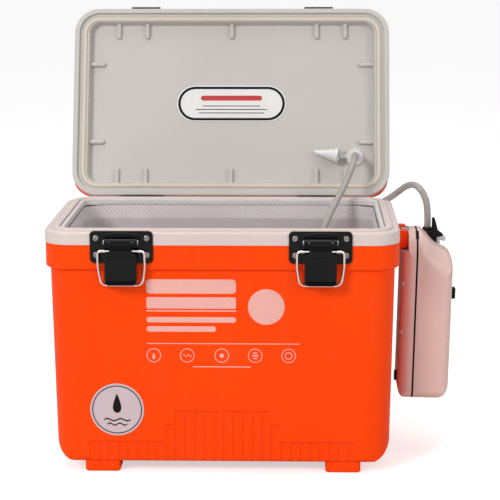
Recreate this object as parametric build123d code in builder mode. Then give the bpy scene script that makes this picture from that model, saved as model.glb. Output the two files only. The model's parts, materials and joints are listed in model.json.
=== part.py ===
"""Insulated live-bait box with its lid open and an air pump hung on its right side.

Millimetres, +Z up, +X to the right, +Y to the back. Each sub-assembly is drawn in its own
axes: the tub's have their origin on the floor under the tub's centre, the lid's are the
tub's with the lid shut, and the pump's start at the top middle of its back face.
"""
from build123d import *
import os
from math import cos, hypot, radians, sin, tan

os.makedirs("parts", exist_ok=True)

# ---------------------------------------------------------------- driving dimensions
RIM_W, RIM_D, RIM_R = 318.0, 192.0, 25.0   # outline of the rim, seen from above
RIM_Z = 226.0                              # top of the rim's sealing bead
FOOT_H = 10.0                              # clear height under the tub
SKIRT_TOP, SKIRT_LOW = 212.4, 190.0        # collar of the outer shell under the white rim
WALL = 3.0                                 # moulded wall of the outer shell
SKIN = 2.5                                 # moulded wall of the liner and of the lid
DRAFT = 1.09                               # degrees that the walls lean out going up
BODY_R = 22.0                              # upright corners of the body
END_ROUND, FACE_ROUND = 21.0, 6.0          # lower edges at the ends, and at front and back

FLUTE_PITCH, FLUTE_DEEP = 8.7, 1.7         # hollow flutes low on the front and back
FLUTE_HIGH, FLUTE_MID, FLUTE_LOW = 59.0, 46.0, 30.0

LATCH_X = 88.0                             # latches and hinges stand at plus and minus this
HINGE_Y, HINGE_Z = RIM_D / 2 + 6.0, RIM_Z - 6.0
LID_OPEN = 108.6                           # degrees from shut to the hinge stop
LID_TOP = RIM_Z + 27.0                     # top of the shut lid
LIP_Z = RIM_Z - 1.6                        # lowest edge of the shut lid
SEAM_Z = RIM_Z + 8.0                       # where the lid's shell meets its white panel
PANEL_Z = RIM_Z + 10.0                     # recessed inner face of the lid

LEVER_Y, LEVER_Z = -RIM_D / 2 - 5.6, RIM_Z - 10.0
BAIL_Y, BAIL_Z = LEVER_Y - 1.0, LEVER_Z - 7.7
BAIL_LONG, WIRE_R = 32.2, 1.25
PIN_PLAY = 0.05                            # radial play of every pin in its hole

PORT_X, PORT_Y = 124.6, 55.0               # air port, in the lid's axes
HOSE_R = 3.1

PUMP_TOP = (164.8, 0.0, 211.5)             # top middle of the pump's back face
PUMP_TILT = 1.3
PUMP_D, PUMP_T, PUMP_H = 68.0, 46.8, 156.2
PUMP_SEAM, PUMP_WALL = 13.3, 2.2
PUMP_ROUND = 24.0                          # upper corners of the case, seen from the side
KNOB_OUT = 5.6                             # how far the switch stands out of the case

# ---------------------------------------------------------------- places
ROW_X = (PUMP_TOP[0] + PUMP_T + KNOB_OUT - 1.32 - RIM_W / 2) / 2
ROW_Y = 42.9
TUB = Location((-ROW_X, -ROW_Y, 0))
AXIS = Location((0, HINGE_Y, HINGE_Z))
LID = TUB * AXIS * Location((0, 0, 0), (-LID_OPEN, 0, 0)) * AXIS.inverse()
PUMP = TUB * Location(PUMP_TOP, (0, PUMP_TILT, 0))
DRAFT_RISE = tan(radians(DRAFT))


def keep(piece, name, frame=TUB):
    """Moves a finished piece to the row's axes, labels it and writes its STEP file."""
    piece.part = piece.part.moved(frame)
    piece.part.label = name
    export_step(piece.part, f"parts/{name}.step")


def body_half(z, axis_half):
    """Half width or depth of the outer body at height z, from that of the rim."""
    return axis_half - 4.0 - DRAFT_RISE * (178.0 - z)


def front_plane(x, z):
    """Plane on the body's leaning front wall at x and z, facing out."""
    lean = radians(DRAFT)
    origin = (x, -body_half(z, RIM_D / 2), z)
    return Plane(origin=origin, x_dir=(1, 0, 0), z_dir=(0, -cos(lean), -sin(lean)))


def facing_front(x, y, z):
    """Upright plane through a point, facing the front, its own x to the right."""
    return Plane(origin=(x, y, z), x_dir=(1, 0, 0), z_dir=(0, -1, 0))


def rounded_slab(half_x, half_y, corner, low, high, taper=0.0, mode=Mode.ADD):
    """An upright slab with rounded corners between two heights, added or cut."""
    with BuildSketch(Plane.XY.offset(low)) as outline:
        RectangleRounded(2 * half_x, 2 * half_y, corner)
    extrude(outline.sketch, amount=high - low, taper=taper, mode=mode)


def ring(outer, inner, low, high, mode=Mode.ADD):
    """A frame-shaped ring, added or cut; outer and inner are (half x, half y, corner)."""
    with BuildSketch(Plane.XY.offset(low)) as outline:
        RectangleRounded(2 * outer[0], 2 * outer[1], outer[2])
        RectangleRounded(2 * inner[0], 2 * inner[1], inner[2], mode=Mode.SUBTRACT)
    extrude(outline.sketch, amount=high - low, mode=mode)


def inset(amount, corner=RIM_R):
    """Half sizes and corner radius of the rim's outline, moved in by an amount."""
    return RIM_W / 2 - amount, RIM_D / 2 - amount, max(corner - amount, 1.0)


def side_profile(plane, half, low, high, corner):
    """Outline of a leaning-walled tub with rounded lower corners, seen from one side."""
    wide = half + DRAFT_RISE * (high - low)
    with BuildSketch(plane) as profile:
        with BuildLine():
            FilletPolyline((-wide, high), (-half, low), (half, low), (wide, high), radius=corner)
            Line((wide, high), (-wide, high))
        make_face()
    return profile.sketch


def tub_form(thin, low, high):
    """The body's outer form, moved in by thin on every side but the top."""
    half_x = body_half(low, RIM_W / 2) - thin
    half_y = body_half(low, RIM_D / 2) - thin
    end = side_profile(Plane.XZ, half_x, low, high, END_ROUND - thin)
    face = side_profile(Plane.YZ, half_y, low, high, max(FACE_ROUND - thin, 1.0))
    with BuildPart() as form:
        rounded_slab(half_x, half_y, BODY_R - thin, low, high, taper=-DRAFT)
        extrude(end, amount=RIM_D, both=True, mode=Mode.INTERSECT)
        extrude(face, amount=RIM_W, both=True, mode=Mode.INTERSECT)
    return form.part


def rod(start, direction, radius, length, mode=Mode.ADD):
    """A round rod from a start point along a direction, added to or cut from a piece."""
    with BuildSketch(Plane(origin=start, z_dir=direction)) as section:
        Circle(radius)
    extrude(section.sketch, amount=length, mode=mode)


# ---------------------------------------------------------------- fasteners cut from what they hold
PLATE_T = 1.5
RIVET_SPOTS = [
    (side * LATCH_X + dx, RIM_Z - 14.5 + dz)
    for side in (-1, 1) for dx in (-22.5, 22.5) for dz in (-7.5, 7.5)
]
with BuildPart() as latch_rivets:
    for x, z in RIVET_SPOTS:
        rod((x, -RIM_D / 2 - PLATE_T - 1.1, z), (0, 1, 0), 2.7, 1.1)
    heads = latch_rivets.faces().filter_by(Axis.Y).group_by(Axis.Y)[0]
    fillet(heads.edges(), 0.8)
    for x, z in RIVET_SPOTS:
        rod((x, -RIM_D / 2 - PLATE_T - 1.2, z), (0, 1, 0), 1.1, 0.8, mode=Mode.SUBTRACT)
    for x, z in RIVET_SPOTS:
        rod((x, -RIM_D / 2 - PLATE_T, z), (0, 1, 0), 1.5, 4.0 + PLATE_T)

LEAF_T = 2.5
SCREW_DX = 14.0
TUB_SCREW_Z, LID_SCREW_Z = 205.0, 242.0


def hinge_screws(z):
    """Pan-head screws, two in each hinge leaf, driven in from the back."""
    with BuildPart() as made:
        for side in (-1, 1):
            for dx in (-SCREW_DX, SCREW_DX):
                x, y = side * LATCH_X + dx, RIM_D / 2 + LEAF_T
                rod((x, y + 1.6, z), (0, -1, 0), 3.0, 1.6)
                rod((x, y, z), (0, -1, 0), 1.6, 12.0)
                with BuildSketch(Plane(origin=(x, y + 1.6, z), z_dir=(0, -1, 0))):
                    Rectangle(3.6, 0.8)
                    Rectangle(0.8, 3.6)
                extrude(amount=0.7, mode=Mode.SUBTRACT)
    return made.part


BRACKET_X = 169.6
SCREW_YS, BRACKET_SCREW_Z = (-14.5, 14.5), 204.0
with BuildPart() as bracket_screws:
    for y in SCREW_YS:
        rod((BRACKET_X - 1.0, y, BRACKET_SCREW_Z), (-1, 0, 0), 3.0, 1.8)
        rod((BRACKET_X - 2.8, y, BRACKET_SCREW_Z), (-1, 0, 0), 1.6, 16.0)

tub_screws = hinge_screws(TUB_SCREW_Z)
lid_screws = hinge_screws(LID_SCREW_Z)

# ---------------------------------------------------------------- tub: outer shell
with BuildPart() as outer_shell:
    add(tub_form(0.0, FOOT_H, SKIRT_LOW + 4.0))
    rounded_slab(*inset(0.3), SKIRT_LOW, SKIRT_TOP)
    step = outer_shell.faces().filter_by(Axis.Z).sort_by(SortBy.AREA)
    step = [f for f in step if abs(f.center().Z - SKIRT_LOW) < 0.1][0]
    fillet(step.outer_wire().edges(), 1.6)
    radius = (FLUTE_PITCH ** 2 / 4 + FLUTE_DEEP ** 2) / (2 * FLUTE_DEEP)
    for face_sign in (-1, 1):
        for i in range(28):
            x = (i - 13.5) * FLUTE_PITCH
            reach = abs(x) / FLUTE_PITCH
            top = FLUTE_HIGH if reach < 5 else FLUTE_MID if reach < 6 else FLUTE_LOW
            y = face_sign * (body_half(top, RIM_D / 2) + radius - FLUTE_DEEP)
            groove = Plane(origin=(x, y, top), z_dir=(0, -face_sign * DRAFT_RISE, -1))
            with BuildSketch(groove):
                Circle(radius)
            extrude(amount=top - FOOT_H + 4.0, mode=Mode.SUBTRACT)
    for sx in (-1, 1):
        for sy in (-1, 1):
            with BuildSketch(Plane.XY):
                with Locations((sx * 109.5, sy * 73.0)):
                    RectangleRounded(32.0, 25.0, 3.0)
            extrude(amount=FOOT_H + 4.0)
    soles = outer_shell.faces().filter_by(Axis.Z).group_by(Axis.Z)[0]
    chamfer(soles.edges(), 1.5)
    add(tub_form(WALL, FOOT_H + WALL, SKIRT_TOP), mode=Mode.SUBTRACT)
    add(latch_rivets.part, mode=Mode.SUBTRACT)
    add(tub_screws, mode=Mode.SUBTRACT)
    add(bracket_screws.part, mode=Mode.SUBTRACT)

# ---------------------------------------------------------------- tub: liner with the white rim
LEDGE_Z = RIM_Z - 8.0
FLOOR_Z = 36.0
MOUTH = inset(12.7, corner=26.0)           # inner edge of the rim's bead
BASIN_TOP = (MOUTH[0] - 4.0, MOUTH[1] - 4.0)
BASIN_LEAN = 2.13                          # degrees
BASIN_R = 18.0


def basin(grow, low, high, round_floor):
    """Leaning-walled basin under the ledge, moved out by grow, with a rounded floor edge."""
    shrink = tan(radians(BASIN_LEAN)) * (LEDGE_Z - low)
    with BuildPart() as form:
        rounded_slab(BASIN_TOP[0] - shrink + grow, BASIN_TOP[1] - shrink + grow,
                     BASIN_R + grow, low, high, taper=-BASIN_LEAN)
        if round_floor > 0:
            fillet(form.faces().sort_by(Axis.Z)[0].edges(), round_floor)
    return form.part


with BuildPart() as liner:
    rounded_slab(*inset(0.0), SKIRT_TOP, RIM_Z - 2.0)
    fillet(liner.faces().sort_by(Axis.Z)[-1].edges(), 2.0)
    rounded_slab(*inset(SKIN), SKIRT_TOP, RIM_Z - 2.0 - SKIN, mode=Mode.SUBTRACT)
    rounded_slab(MOUTH[0] + SKIN, MOUTH[1] + SKIN, MOUTH[2] + SKIN,
                 LEDGE_Z - SKIN, RIM_Z - 2.0)
    add(basin(SKIN, FLOOR_Z - SKIN, LEDGE_Z - SKIN + 1.0, 12.0))
    rounded_slab(*inset(12.7 - 6.2, corner=26.0), RIM_Z - 2.0, RIM_Z)
    add(basin(0.0, FLOOR_Z, LEDGE_Z + 1.0, 10.0), mode=Mode.SUBTRACT)
    rounded_slab(*MOUTH, LEDGE_Z, RIM_Z, mode=Mode.SUBTRACT)
    bead = liner.faces().sort_by(Axis.Z)[-1]
    fillet(bead.edges(), 0.9)
    add(latch_rivets.part, mode=Mode.SUBTRACT)

with BuildPart() as foam_core:
    add(tub_form(WALL, FOOT_H + WALL, SKIRT_TOP))
    rounded_slab(*inset(SKIN), SKIRT_TOP, RIM_Z - 2.0 - SKIN)
    add(basin(SKIN, FLOOR_Z - SKIN, LEDGE_Z, 12.0), mode=Mode.SUBTRACT)
    rounded_slab(MOUTH[0] + SKIN, MOUTH[1] + SKIN, MOUTH[2] + SKIN, LEDGE_Z - SKIN, RIM_Z,
                 mode=Mode.SUBTRACT)
    add(tub_screws, mode=Mode.SUBTRACT)
    add(bracket_screws.part, mode=Mode.SUBTRACT)
    add(latch_rivets.part, mode=Mode.SUBTRACT)

# ---------------------------------------------------------------- tub: net liner on its wire hoop
HEM_TOP = RIM_Z - 1.2
HEM_OUT = (MOUTH[0] - 0.5, MOUTH[1] - 0.5, MOUTH[2] - 0.5)
HEM_IN = (HEM_OUT[0] - 4.0, HEM_OUT[1] - 4.0, HEM_OUT[2] - 4.0)
NET_LIP = LEDGE_Z + 0.3
NET_T = 1.2

with BuildPart() as net_liner:
    ring(HEM_OUT, (HEM_IN[0] - 1.2, HEM_IN[1] - 1.2, HEM_IN[2]), NET_LIP, NET_LIP + NET_T)
    add(basin(-1.0, FLOOR_Z + 0.8, NET_LIP + NET_T, 9.0))
    add(basin(-1.0 - NET_T, FLOOR_Z + 0.8 + NET_T, NET_LIP + 2 * NET_T, 8.0), mode=Mode.SUBTRACT)

HOOP_R, HOOP_PLAY, HOOP_IN = 1.1, 0.1, 2.0
HOOP_Z = (NET_LIP + NET_T + HEM_TOP) / 2


def hoop_ring(radius, mode=Mode.ADD):
    """Round wire bent to the hem's outline."""
    half_x, half_y, corner = (size - HOOP_IN for size in HEM_OUT)
    with BuildSketch(Plane.XY.offset(HOOP_Z)) as outline:
        RectangleRounded(2 * half_x, 2 * half_y, corner)
    route = outline.sketch.faces()[0].outer_wire()
    with BuildSketch(Plane(origin=route @ 0, z_dir=route % 0)) as section:
        Circle(radius)
    sweep(section.sketch, path=route, mode=mode)


with BuildPart() as net_hoop:
    hoop_ring(HOOP_R)

slot = HOOP_R + HOOP_PLAY
SLOT_OUT = tuple(size - HOOP_IN + slot for size in HEM_OUT)
SLOT_IN = tuple(size - HOOP_IN - slot for size in HEM_OUT)
with BuildPart() as net_hem:
    ring(HEM_OUT, HEM_IN, NET_LIP + NET_T, HEM_TOP)
    fillet(net_hem.faces().sort_by(Axis.Z)[-1].edges(), 1.2)
    hoop_ring(slot, mode=Mode.SUBTRACT)
    ring(SLOT_OUT, SLOT_IN, NET_LIP + NET_T, HOOP_Z, mode=Mode.SUBTRACT)

# ---------------------------------------------------------------- tub: hinges, latch plates, bracket
KNUCKLE_R, HINGE_PIN_R = 4.0, 1.6
LEAF_W = 44.0


def hinge_leaf(side, plate, knuckles, web):
    """Leaf on the back face with knuckles round the hinge axis.

    plate is (low, high); each knuckle (centre, half width); web (near y, far y, low z, high z).
    """
    low, high = plate
    middle = (side * LATCH_X, RIM_D / 2, (low + high) / 2)
    with BuildSketch(Plane(origin=middle, x_dir=(1, 0, 0), z_dir=(0, 1, 0))) as outline:
        RectangleRounded(LEAF_W, high - low, 3.0)
    extrude(outline.sketch, amount=LEAF_T)
    for centre, half in knuckles:
        x = side * LATCH_X + centre - half
        rod((x, HINGE_Y, HINGE_Z), (1, 0, 0), KNUCKLE_R, 2 * half)
        with BuildSketch(Plane.YZ.offset(x)) as arm:
            with Locations(((web[0] + web[1]) / 2, (web[2] + web[3]) / 2)):
                Rectangle(web[1] - web[0], web[3] - web[2])
        extrude(arm.sketch, amount=2 * half)
        rod((x, HINGE_Y, HINGE_Z), (1, 0, 0), HINGE_PIN_R, 2 * half, mode=Mode.SUBTRACT)


with BuildPart() as tub_hinge_leaves:
    for side in (-1, 1):
        hinge_leaf(side, (198.0, 216.5), [(-15.5, 6.5), (15.5, 6.5)],
                   (RIM_D / 2, HINGE_Y, HINGE_Z - 6.0, HINGE_Z - 2.0))
    add(tub_screws, mode=Mode.SUBTRACT)

with BuildPart() as hinge_pins:
    for side in (-1, 1):
        rod((side * LATCH_X - LEAF_W / 2 - 0.6, HINGE_Y, HINGE_Z), (1, 0, 0),
            HINGE_PIN_R - PIN_PLAY, LEAF_W + 1.2)
        for x in (-LEAF_W / 2 - 1.6, LEAF_W / 2 + 0.4):
            rod((side * LATCH_X + x, HINGE_Y, HINGE_Z), (1, 0, 0), 2.4, 1.2)

with BuildPart() as tub_hinge_screws:
    add(tub_screws)

PLATE_W, PLATE_H = 56.0, 29.0
PLATE_Z = RIM_Z - 15.0
EAR_X, EAR_T, EAR_R = 10.5, 4.2, 3.3
BROW_HALF = 15.5
LEVER_PIN_R = 1.5
with BuildPart() as latch_plates:
    for side in (-1, 1):
        x = side * LATCH_X
        with BuildSketch(facing_front(x, -RIM_D / 2, PLATE_Z)):
            RectangleRounded(PLATE_W, PLATE_H, 4.0)
        extrude(amount=PLATE_T)
    fillet(latch_plates.faces().filter_by(Axis.Y).group_by(Axis.Y)[0].edges(), 0.7)
    for side in (-1, 1):
        x = side * LATCH_X
        with BuildSketch(facing_front(x, -RIM_D / 2 - 0.5, PLATE_Z + 10.6)):
            with BuildLine():
                ThreePointArc((-BROW_HALF, -1.6), (0, 0.6), (BROW_HALF, -1.6))
                Line((BROW_HALF, -1.6), (BROW_HALF, 0.9))
                ThreePointArc((BROW_HALF, 0.9), (0, 2.6), (-BROW_HALF, 0.9))
                Line((-BROW_HALF, 0.9), (-BROW_HALF, -1.6))
            make_face()
        extrude(amount=PLATE_T + 1.6)
        for ear in (-1, 1):
            left = x + ear * (EAR_X + EAR_T / 2) - EAR_T / 2
            rod((left, LEVER_Y, LEVER_Z), (1, 0, 0), EAR_R, EAR_T)
            with BuildSketch(Plane.YZ.offset(left)):
                with Locations(((-RIM_D / 2 + LEVER_Y) / 2, LEVER_Z)):
                    Rectangle(-RIM_D / 2 - LEVER_Y, 2 * EAR_R)
            extrude(amount=EAR_T)
            rod((left, LEVER_Y, LEVER_Z), (1, 0, 0), LEVER_PIN_R, EAR_T, mode=Mode.SUBTRACT)
    add(latch_rivets.part, mode=Mode.SUBTRACT)

with BuildPart() as lever_pins:
    for side in (-1, 1):
        reach = EAR_X + EAR_T
        rod((side * LATCH_X - reach, LEVER_Y, LEVER_Z), (1, 0, 0),
            LEVER_PIN_R - PIN_PLAY, 2 * reach)
        for x in (-reach - 0.8, reach):
            rod((side * LATCH_X + x, LEVER_Y, LEVER_Z), (1, 0, 0), 2.3, 0.8)

COLLAR_FACE = RIM_W / 2 - 0.3
BRACKET_LOW, BRACKET_TOP, BRACKET_HALF = 195.8, 212.0, 20.0
POCKET = (161.6, 165.6, 9.5, 203.5)        # near x, far x, half width, floor
SADDLE_Z = 209.5                           # where the clip rides over the bracket
with BuildPart() as pump_bracket:
    with BuildSketch(Plane.XZ.offset(-BRACKET_HALF)):
        with BuildLine():
            FilletPolyline(
                (COLLAR_FACE, BRACKET_LOW), (BRACKET_X - 3.0, BRACKET_LOW),
                (BRACKET_X, BRACKET_LOW + 3.0), (BRACKET_X, BRACKET_TOP),
                (COLLAR_FACE, BRACKET_TOP), radius=[1.0, 1.0, 2.0],
            )
            Line((COLLAR_FACE, BRACKET_TOP), (COLLAR_FACE, BRACKET_LOW))
        make_face()
    extrude(amount=2 * BRACKET_HALF)
    with BuildSketch(Plane.XY.offset(POCKET[3])):
        with Locations(((POCKET[0] + POCKET[1]) / 2, 0)):
            Rectangle(POCKET[1] - POCKET[0], 2 * POCKET[2])
    extrude(amount=30.0, mode=Mode.SUBTRACT)
    with BuildSketch(Plane.XY.offset(SADDLE_Z)):
        with Locations(((POCKET[1] + BRACKET_X) / 2, 0)):
            Rectangle(BRACKET_X - POCKET[1] + 2.0, 2 * POCKET[2])
    extrude(amount=30.0, mode=Mode.SUBTRACT)
    for y in SCREW_YS:
        rod((BRACKET_X, y, BRACKET_SCREW_Z), (-1, 0, 0), 3.3, 1.0, mode=Mode.SUBTRACT)
    add(bracket_screws.part, mode=Mode.SUBTRACT)

# ---------------------------------------------------------------- latches: levers and bails
LEVER_HALF, NECK_HALF = 14.2, 10.1
LEVER_LOW, SHOULDER, SHOULDER_R = 178.4, BAIL_Z - 1.9, 3.2


LEVER_WALL = 1.8
LEVER_FRONT, LEVER_BACK = LEVER_Y - 3.4, LEVER_Y + 3.0


def latch_lever(side):
    """Lever of one latch, hanging shut, hollow at the back."""
    x = side * LATCH_X
    with BuildPart() as lever:
        with BuildSketch(Plane.YZ.offset(x - LEVER_HALF)):
            with BuildLine():
                Polyline(
                    (LEVER_FRONT + 0.3, LEVER_Z - 2.0), (LEVER_FRONT, SHOULDER + 3.0),
                    (LEVER_FRONT - 1.6, SHOULDER - 2.4), (LEVER_FRONT - 2.1, LEVER_LOW + 4.0),
                    (LEVER_FRONT - 2.8, LEVER_LOW), (LEVER_BACK, LEVER_LOW),
                    (LEVER_BACK, LEVER_Z - 2.0), close=True,
                )
            make_face()
        extrude(amount=2 * LEVER_HALF)
        with BuildSketch(facing_front(x, LEVER_Y, LEVER_Z)):
            for ear in (-1, 1):
                with Locations((ear * (LEVER_HALF + NECK_HALF) / 2, 0)):
                    Rectangle(LEVER_HALF - NECK_HALF, 2 * (LEVER_Z - SHOULDER))
        extrude(amount=40.0, both=True, mode=Mode.SUBTRACT)
        upright = lever.edges().filter_by(Axis.Y)
        fillet(upright.group_by(Axis.Z)[0], 4.0)
        fillet([edge for edge in upright if abs(edge.center().Z - SHOULDER) < 0.1
                and abs(edge.center().X - x) > LEVER_HALF - 0.1], SHOULDER_R)
        with BuildSketch(Plane.YZ.offset(x - LEVER_HALF + LEVER_WALL)):
            with BuildLine():
                Polyline(
                    (LEVER_FRONT + 0.4, SHOULDER - 3.2), (LEVER_FRONT - 0.3, LEVER_LOW + 5.0),
                    (LEVER_FRONT - 0.7, LEVER_LOW + 2.2), (LEVER_BACK + 1.0, LEVER_LOW + 2.2),
                    (LEVER_BACK + 1.0, SHOULDER - 3.2), close=True,
                )
            make_face()
        extrude(amount=2 * (LEVER_HALF - LEVER_WALL), mode=Mode.SUBTRACT)
        rod((x - NECK_HALF, LEVER_Y, LEVER_Z), (1, 0, 0), LEVER_Y - LEVER_FRONT, 2 * NECK_HALF)
        rod((x - NECK_HALF, LEVER_Y, LEVER_Z), (1, 0, 0), LEVER_PIN_R, 2 * NECK_HALF,
            mode=Mode.SUBTRACT)
        rod((x - NECK_HALF, BAIL_Y, BAIL_Z), (1, 0, 0), WIRE_R + PIN_PLAY, 2 * NECK_HALF,
            mode=Mode.SUBTRACT)
    return lever


BAIL_WIDE, BAIL_NARROW, BAIL_END = 20.6, 18.2, 5.0
BAIL_HANG = 10.3                           # degrees that the hanging bail leans to the wall


def latch_bail(side):
    """Wire bail of one latch, hanging round its lever, its ends turned into the lever's neck."""
    bend_low = -BAIL_LONG * 0.45
    with BuildPart() as bail:
        lean = radians(BAIL_HANG)
        hanging = Plane(origin=(side * LATCH_X, BAIL_Y, BAIL_Z), x_dir=(1, 0, 0),
                        z_dir=(0, -cos(lean), -sin(lean)))
        with BuildLine(hanging) as path:
            FilletPolyline(
                (-BAIL_END, 0), (-BAIL_WIDE, 0), (-BAIL_WIDE, bend_low),
                (-BAIL_NARROW, -BAIL_LONG), (BAIL_NARROW, -BAIL_LONG),
                (BAIL_WIDE, bend_low), (BAIL_WIDE, 0), (BAIL_END, 0),
                radius=[3.0, 30.0, 6.0, 6.0, 30.0, 3.0],
            )
        with BuildSketch(Plane(origin=path.line @ 0, z_dir=path.line % 0)):
            Circle(WIRE_R)
        sweep(path=path.line)
    return bail


# ---------------------------------------------------------------- lid, drawn shut
FLANGE = 14.0
RECESS = (RIM_W / 2 - FLANGE, RIM_D / 2 - FLANGE + 1.6, 12.0)
RECESS_LEAN = 12.0                         # degrees
GASKET_OUT, GASKET_IN = inset(8.6), inset(12.4)
CHANNEL_Z, GASKET_T = RIM_Z + 1.5, 3.0
HOLLOW_Z = RIM_Z + 5.2
SHELL_IN, SHELL_R, LID_LEAN, LID_ROUND = 1.2, 18.2, 3.0, 7.0
STRIKE_IN = 2.5                            # flats in the shell that carry the strikes
RIB_X, RIB_Y = (-115.0, -86.0, 0.0, 86.0, 115.0), (-40.0, 40.0)
RIB_LONG, RIB_R, RIB_HIGH, RIB_BURIED = 18.0, 2.2, 4.0, 1.0
RIB_ROUND = 1.8
PAD_OUT, PAD_TOP = RIM_D / 2 - 4.6, RIM_Z + 23.0
STRIKE_Z = RIM_Z + 18.5
BAR_Z = RIM_Z + 12.9


def lid_form(move_in, low, high, top_round):
    """Upper form of the lid's shell, moved in from the rim's outline."""
    with BuildPart() as form:
        rounded_slab(*inset(move_in, corner=SHELL_R), low, high, taper=LID_LEAN)
        fillet(form.faces().sort_by(Axis.Z)[-1].edges(), top_round)
    return form.part


with BuildPart() as strike_rivets:
    for side in (-1, 1):
        for dx in (-10.0, 10.0):
            spot = (side * LATCH_X + dx, -RIM_D / 2 + 0.1, STRIKE_Z + 1.5)
            rod(spot, (0, 1, 0), 2.2, 0.9)
            rod(spot, (0, 1, 0), 1.3, 7.0)

# ---- port through the lid
PORT_BODY, PORT_FLANGE, NOSE_R, BORE = 6.0, 9.0, 4.5, 2.0
SPIGOT_R = BORE - 0.1
NOSE_IN, NOSE_OUT = RIM_Z + 2.0, LID_TOP + 9.0
with BuildPart() as port_grommet:
    rod((PORT_X, PORT_Y, PANEL_Z), (0, 0, 1), PORT_BODY, LID_TOP - PANEL_Z)
    rod((PORT_X, PORT_Y, PANEL_Z - 2.5), (0, 0, 1), PORT_FLANGE, 2.5)
    rod((PORT_X, PORT_Y, LID_TOP), (0, 0, 1), PORT_FLANGE, 2.0)
    rod((PORT_X, PORT_Y, NOSE_IN), (0, 0, 1), NOSE_R, NOSE_OUT - NOSE_IN)
    rod((PORT_X, PORT_Y, NOSE_IN - 6.0), (0, 0, 1), SPIGOT_R, NOSE_OUT - NOSE_IN + 12.0)
    rod((PORT_X, PORT_Y, NOSE_IN - 6.0), (0, 0, 1), 1.2, NOSE_OUT - NOSE_IN + 12.0,
        mode=Mode.SUBTRACT)

STRAP_Z = PANEL_Z - 4.2
with BuildPart() as stopper_plug:
    rod((PORT_X, PORT_Y, STRAP_Z), (0, 0, 1), 8.0, 1.6)
    with BuildSketch(Plane.XY.offset(STRAP_Z)):
        with Locations((PORT_X - 11.5, PORT_Y - 0.5)):
            Rectangle(9.0, 4.0)
    extrude(amount=1.6)
    rod((PORT_X, PORT_Y, STRAP_Z - 0.1), (0, 0, 1), NOSE_R, 2.0, mode=Mode.SUBTRACT)
    cup = Plane(origin=(PORT_X - 16.5, PORT_Y + 0.5, PANEL_Z - 9.5), z_dir=(-24.0, -5.0, 4.0))
    for radii, mode in (((8.0, 4.3, 1.9), Mode.ADD), ((6.8, 3.1, 0.8), Mode.SUBTRACT)):
        for rise, radius in zip((0.0, 13.0, 25.0), radii):
            with BuildSketch(cup.offset(rise)):
                Circle(radius)
        loft(ruled=True, mode=mode)

with BuildPart() as lid_rib:
    with BuildSketch(Plane.XY.offset(PANEL_Z + 0.5)):
        SlotOverall(RIB_LONG, 2 * RIB_R)
    extrude(amount=-RIB_HIGH - 0.5)
    fillet(lid_rib.faces().sort_by(Axis.Z)[0].edges(), RIB_ROUND)

with BuildPart() as lid_panel:
    rounded_slab(*inset(0.0), LIP_Z, SEAM_Z)
    fillet(lid_panel.faces().sort_by(Axis.Z)[0].edges(), 1.2)
    rounded_slab(*inset(5.0), HOLLOW_Z, SEAM_Z, mode=Mode.SUBTRACT)
    rounded_slab(RECESS[0] + SKIN, RECESS[1] + SKIN, RECESS[2] + SKIN, HOLLOW_Z - 1.0,
                 PANEL_Z + SKIN)
    rounded_slab(*inset(4.8), LIP_Z, CHANNEL_Z, mode=Mode.SUBTRACT)
    ring(GASKET_OUT, GASKET_IN, CHANNEL_Z, RIM_Z + 0.2 + GASKET_T, mode=Mode.SUBTRACT)
    rounded_slab(*RECESS, LIP_Z, PANEL_Z, taper=RECESS_LEAN, mode=Mode.SUBTRACT)
    for sign in (-1, 1):
        for x in RIB_X:
            y = sign * (RECESS[1] + RIB_BURIED - RIB_LONG / 2)
            add(lid_rib.part.moved(Location((x, y, 0), (0, 0, 90))))
        for y in RIB_Y:
            x = sign * (RECESS[0] + RIB_BURIED - RIB_LONG / 2)
            add(lid_rib.part.moved(Location((x, y, 0))))
    rod((PORT_X, PORT_Y, PANEL_Z), (0, 0, 1), PORT_BODY, SKIN, mode=Mode.SUBTRACT)

with BuildPart() as lid_gasket:
    ring(GASKET_OUT, GASKET_IN, RIM_Z + 0.2, RIM_Z + 0.2 + GASKET_T)
    fillet(lid_gasket.faces().sort_by(Axis.Z)[0].edges(), 0.8)

with BuildPart() as lid_shell:
    add(lid_form(SHELL_IN, SEAM_Z, LID_TOP, LID_ROUND))
    for side in (-1, 1):
        with BuildSketch(Plane.XY.offset(SEAM_Z)):
            with Locations((side * LATCH_X, -RIM_D / 2 + STRIKE_IN / 2)):
                Rectangle(32.0, STRIKE_IN)
        extrude(amount=PAD_TOP - SEAM_Z, mode=Mode.SUBTRACT)
        for y, out, wide in ((-1, STRIKE_IN, 32.0), (1, 0.0, LEAF_W + 4.0)):
            edge = RIM_D / 2 - out
            with BuildSketch(Plane.XY.offset(SEAM_Z)):
                with Locations((side * LATCH_X, y * (edge + PAD_OUT) / 2)):
                    Rectangle(wide, edge - PAD_OUT)
            extrude(amount=PAD_TOP - SEAM_Z)
    add(lid_form(SHELL_IN + SKIN, SEAM_Z, LID_TOP - SKIN, LID_ROUND - SKIN), mode=Mode.SUBTRACT)
    rod((PORT_X, PORT_Y, LID_TOP - SKIN), (0, 0, 1), PORT_BODY, SKIN, mode=Mode.SUBTRACT)
    add(lid_screws, mode=Mode.SUBTRACT)
    add(strike_rivets.part, mode=Mode.SUBTRACT)

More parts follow.
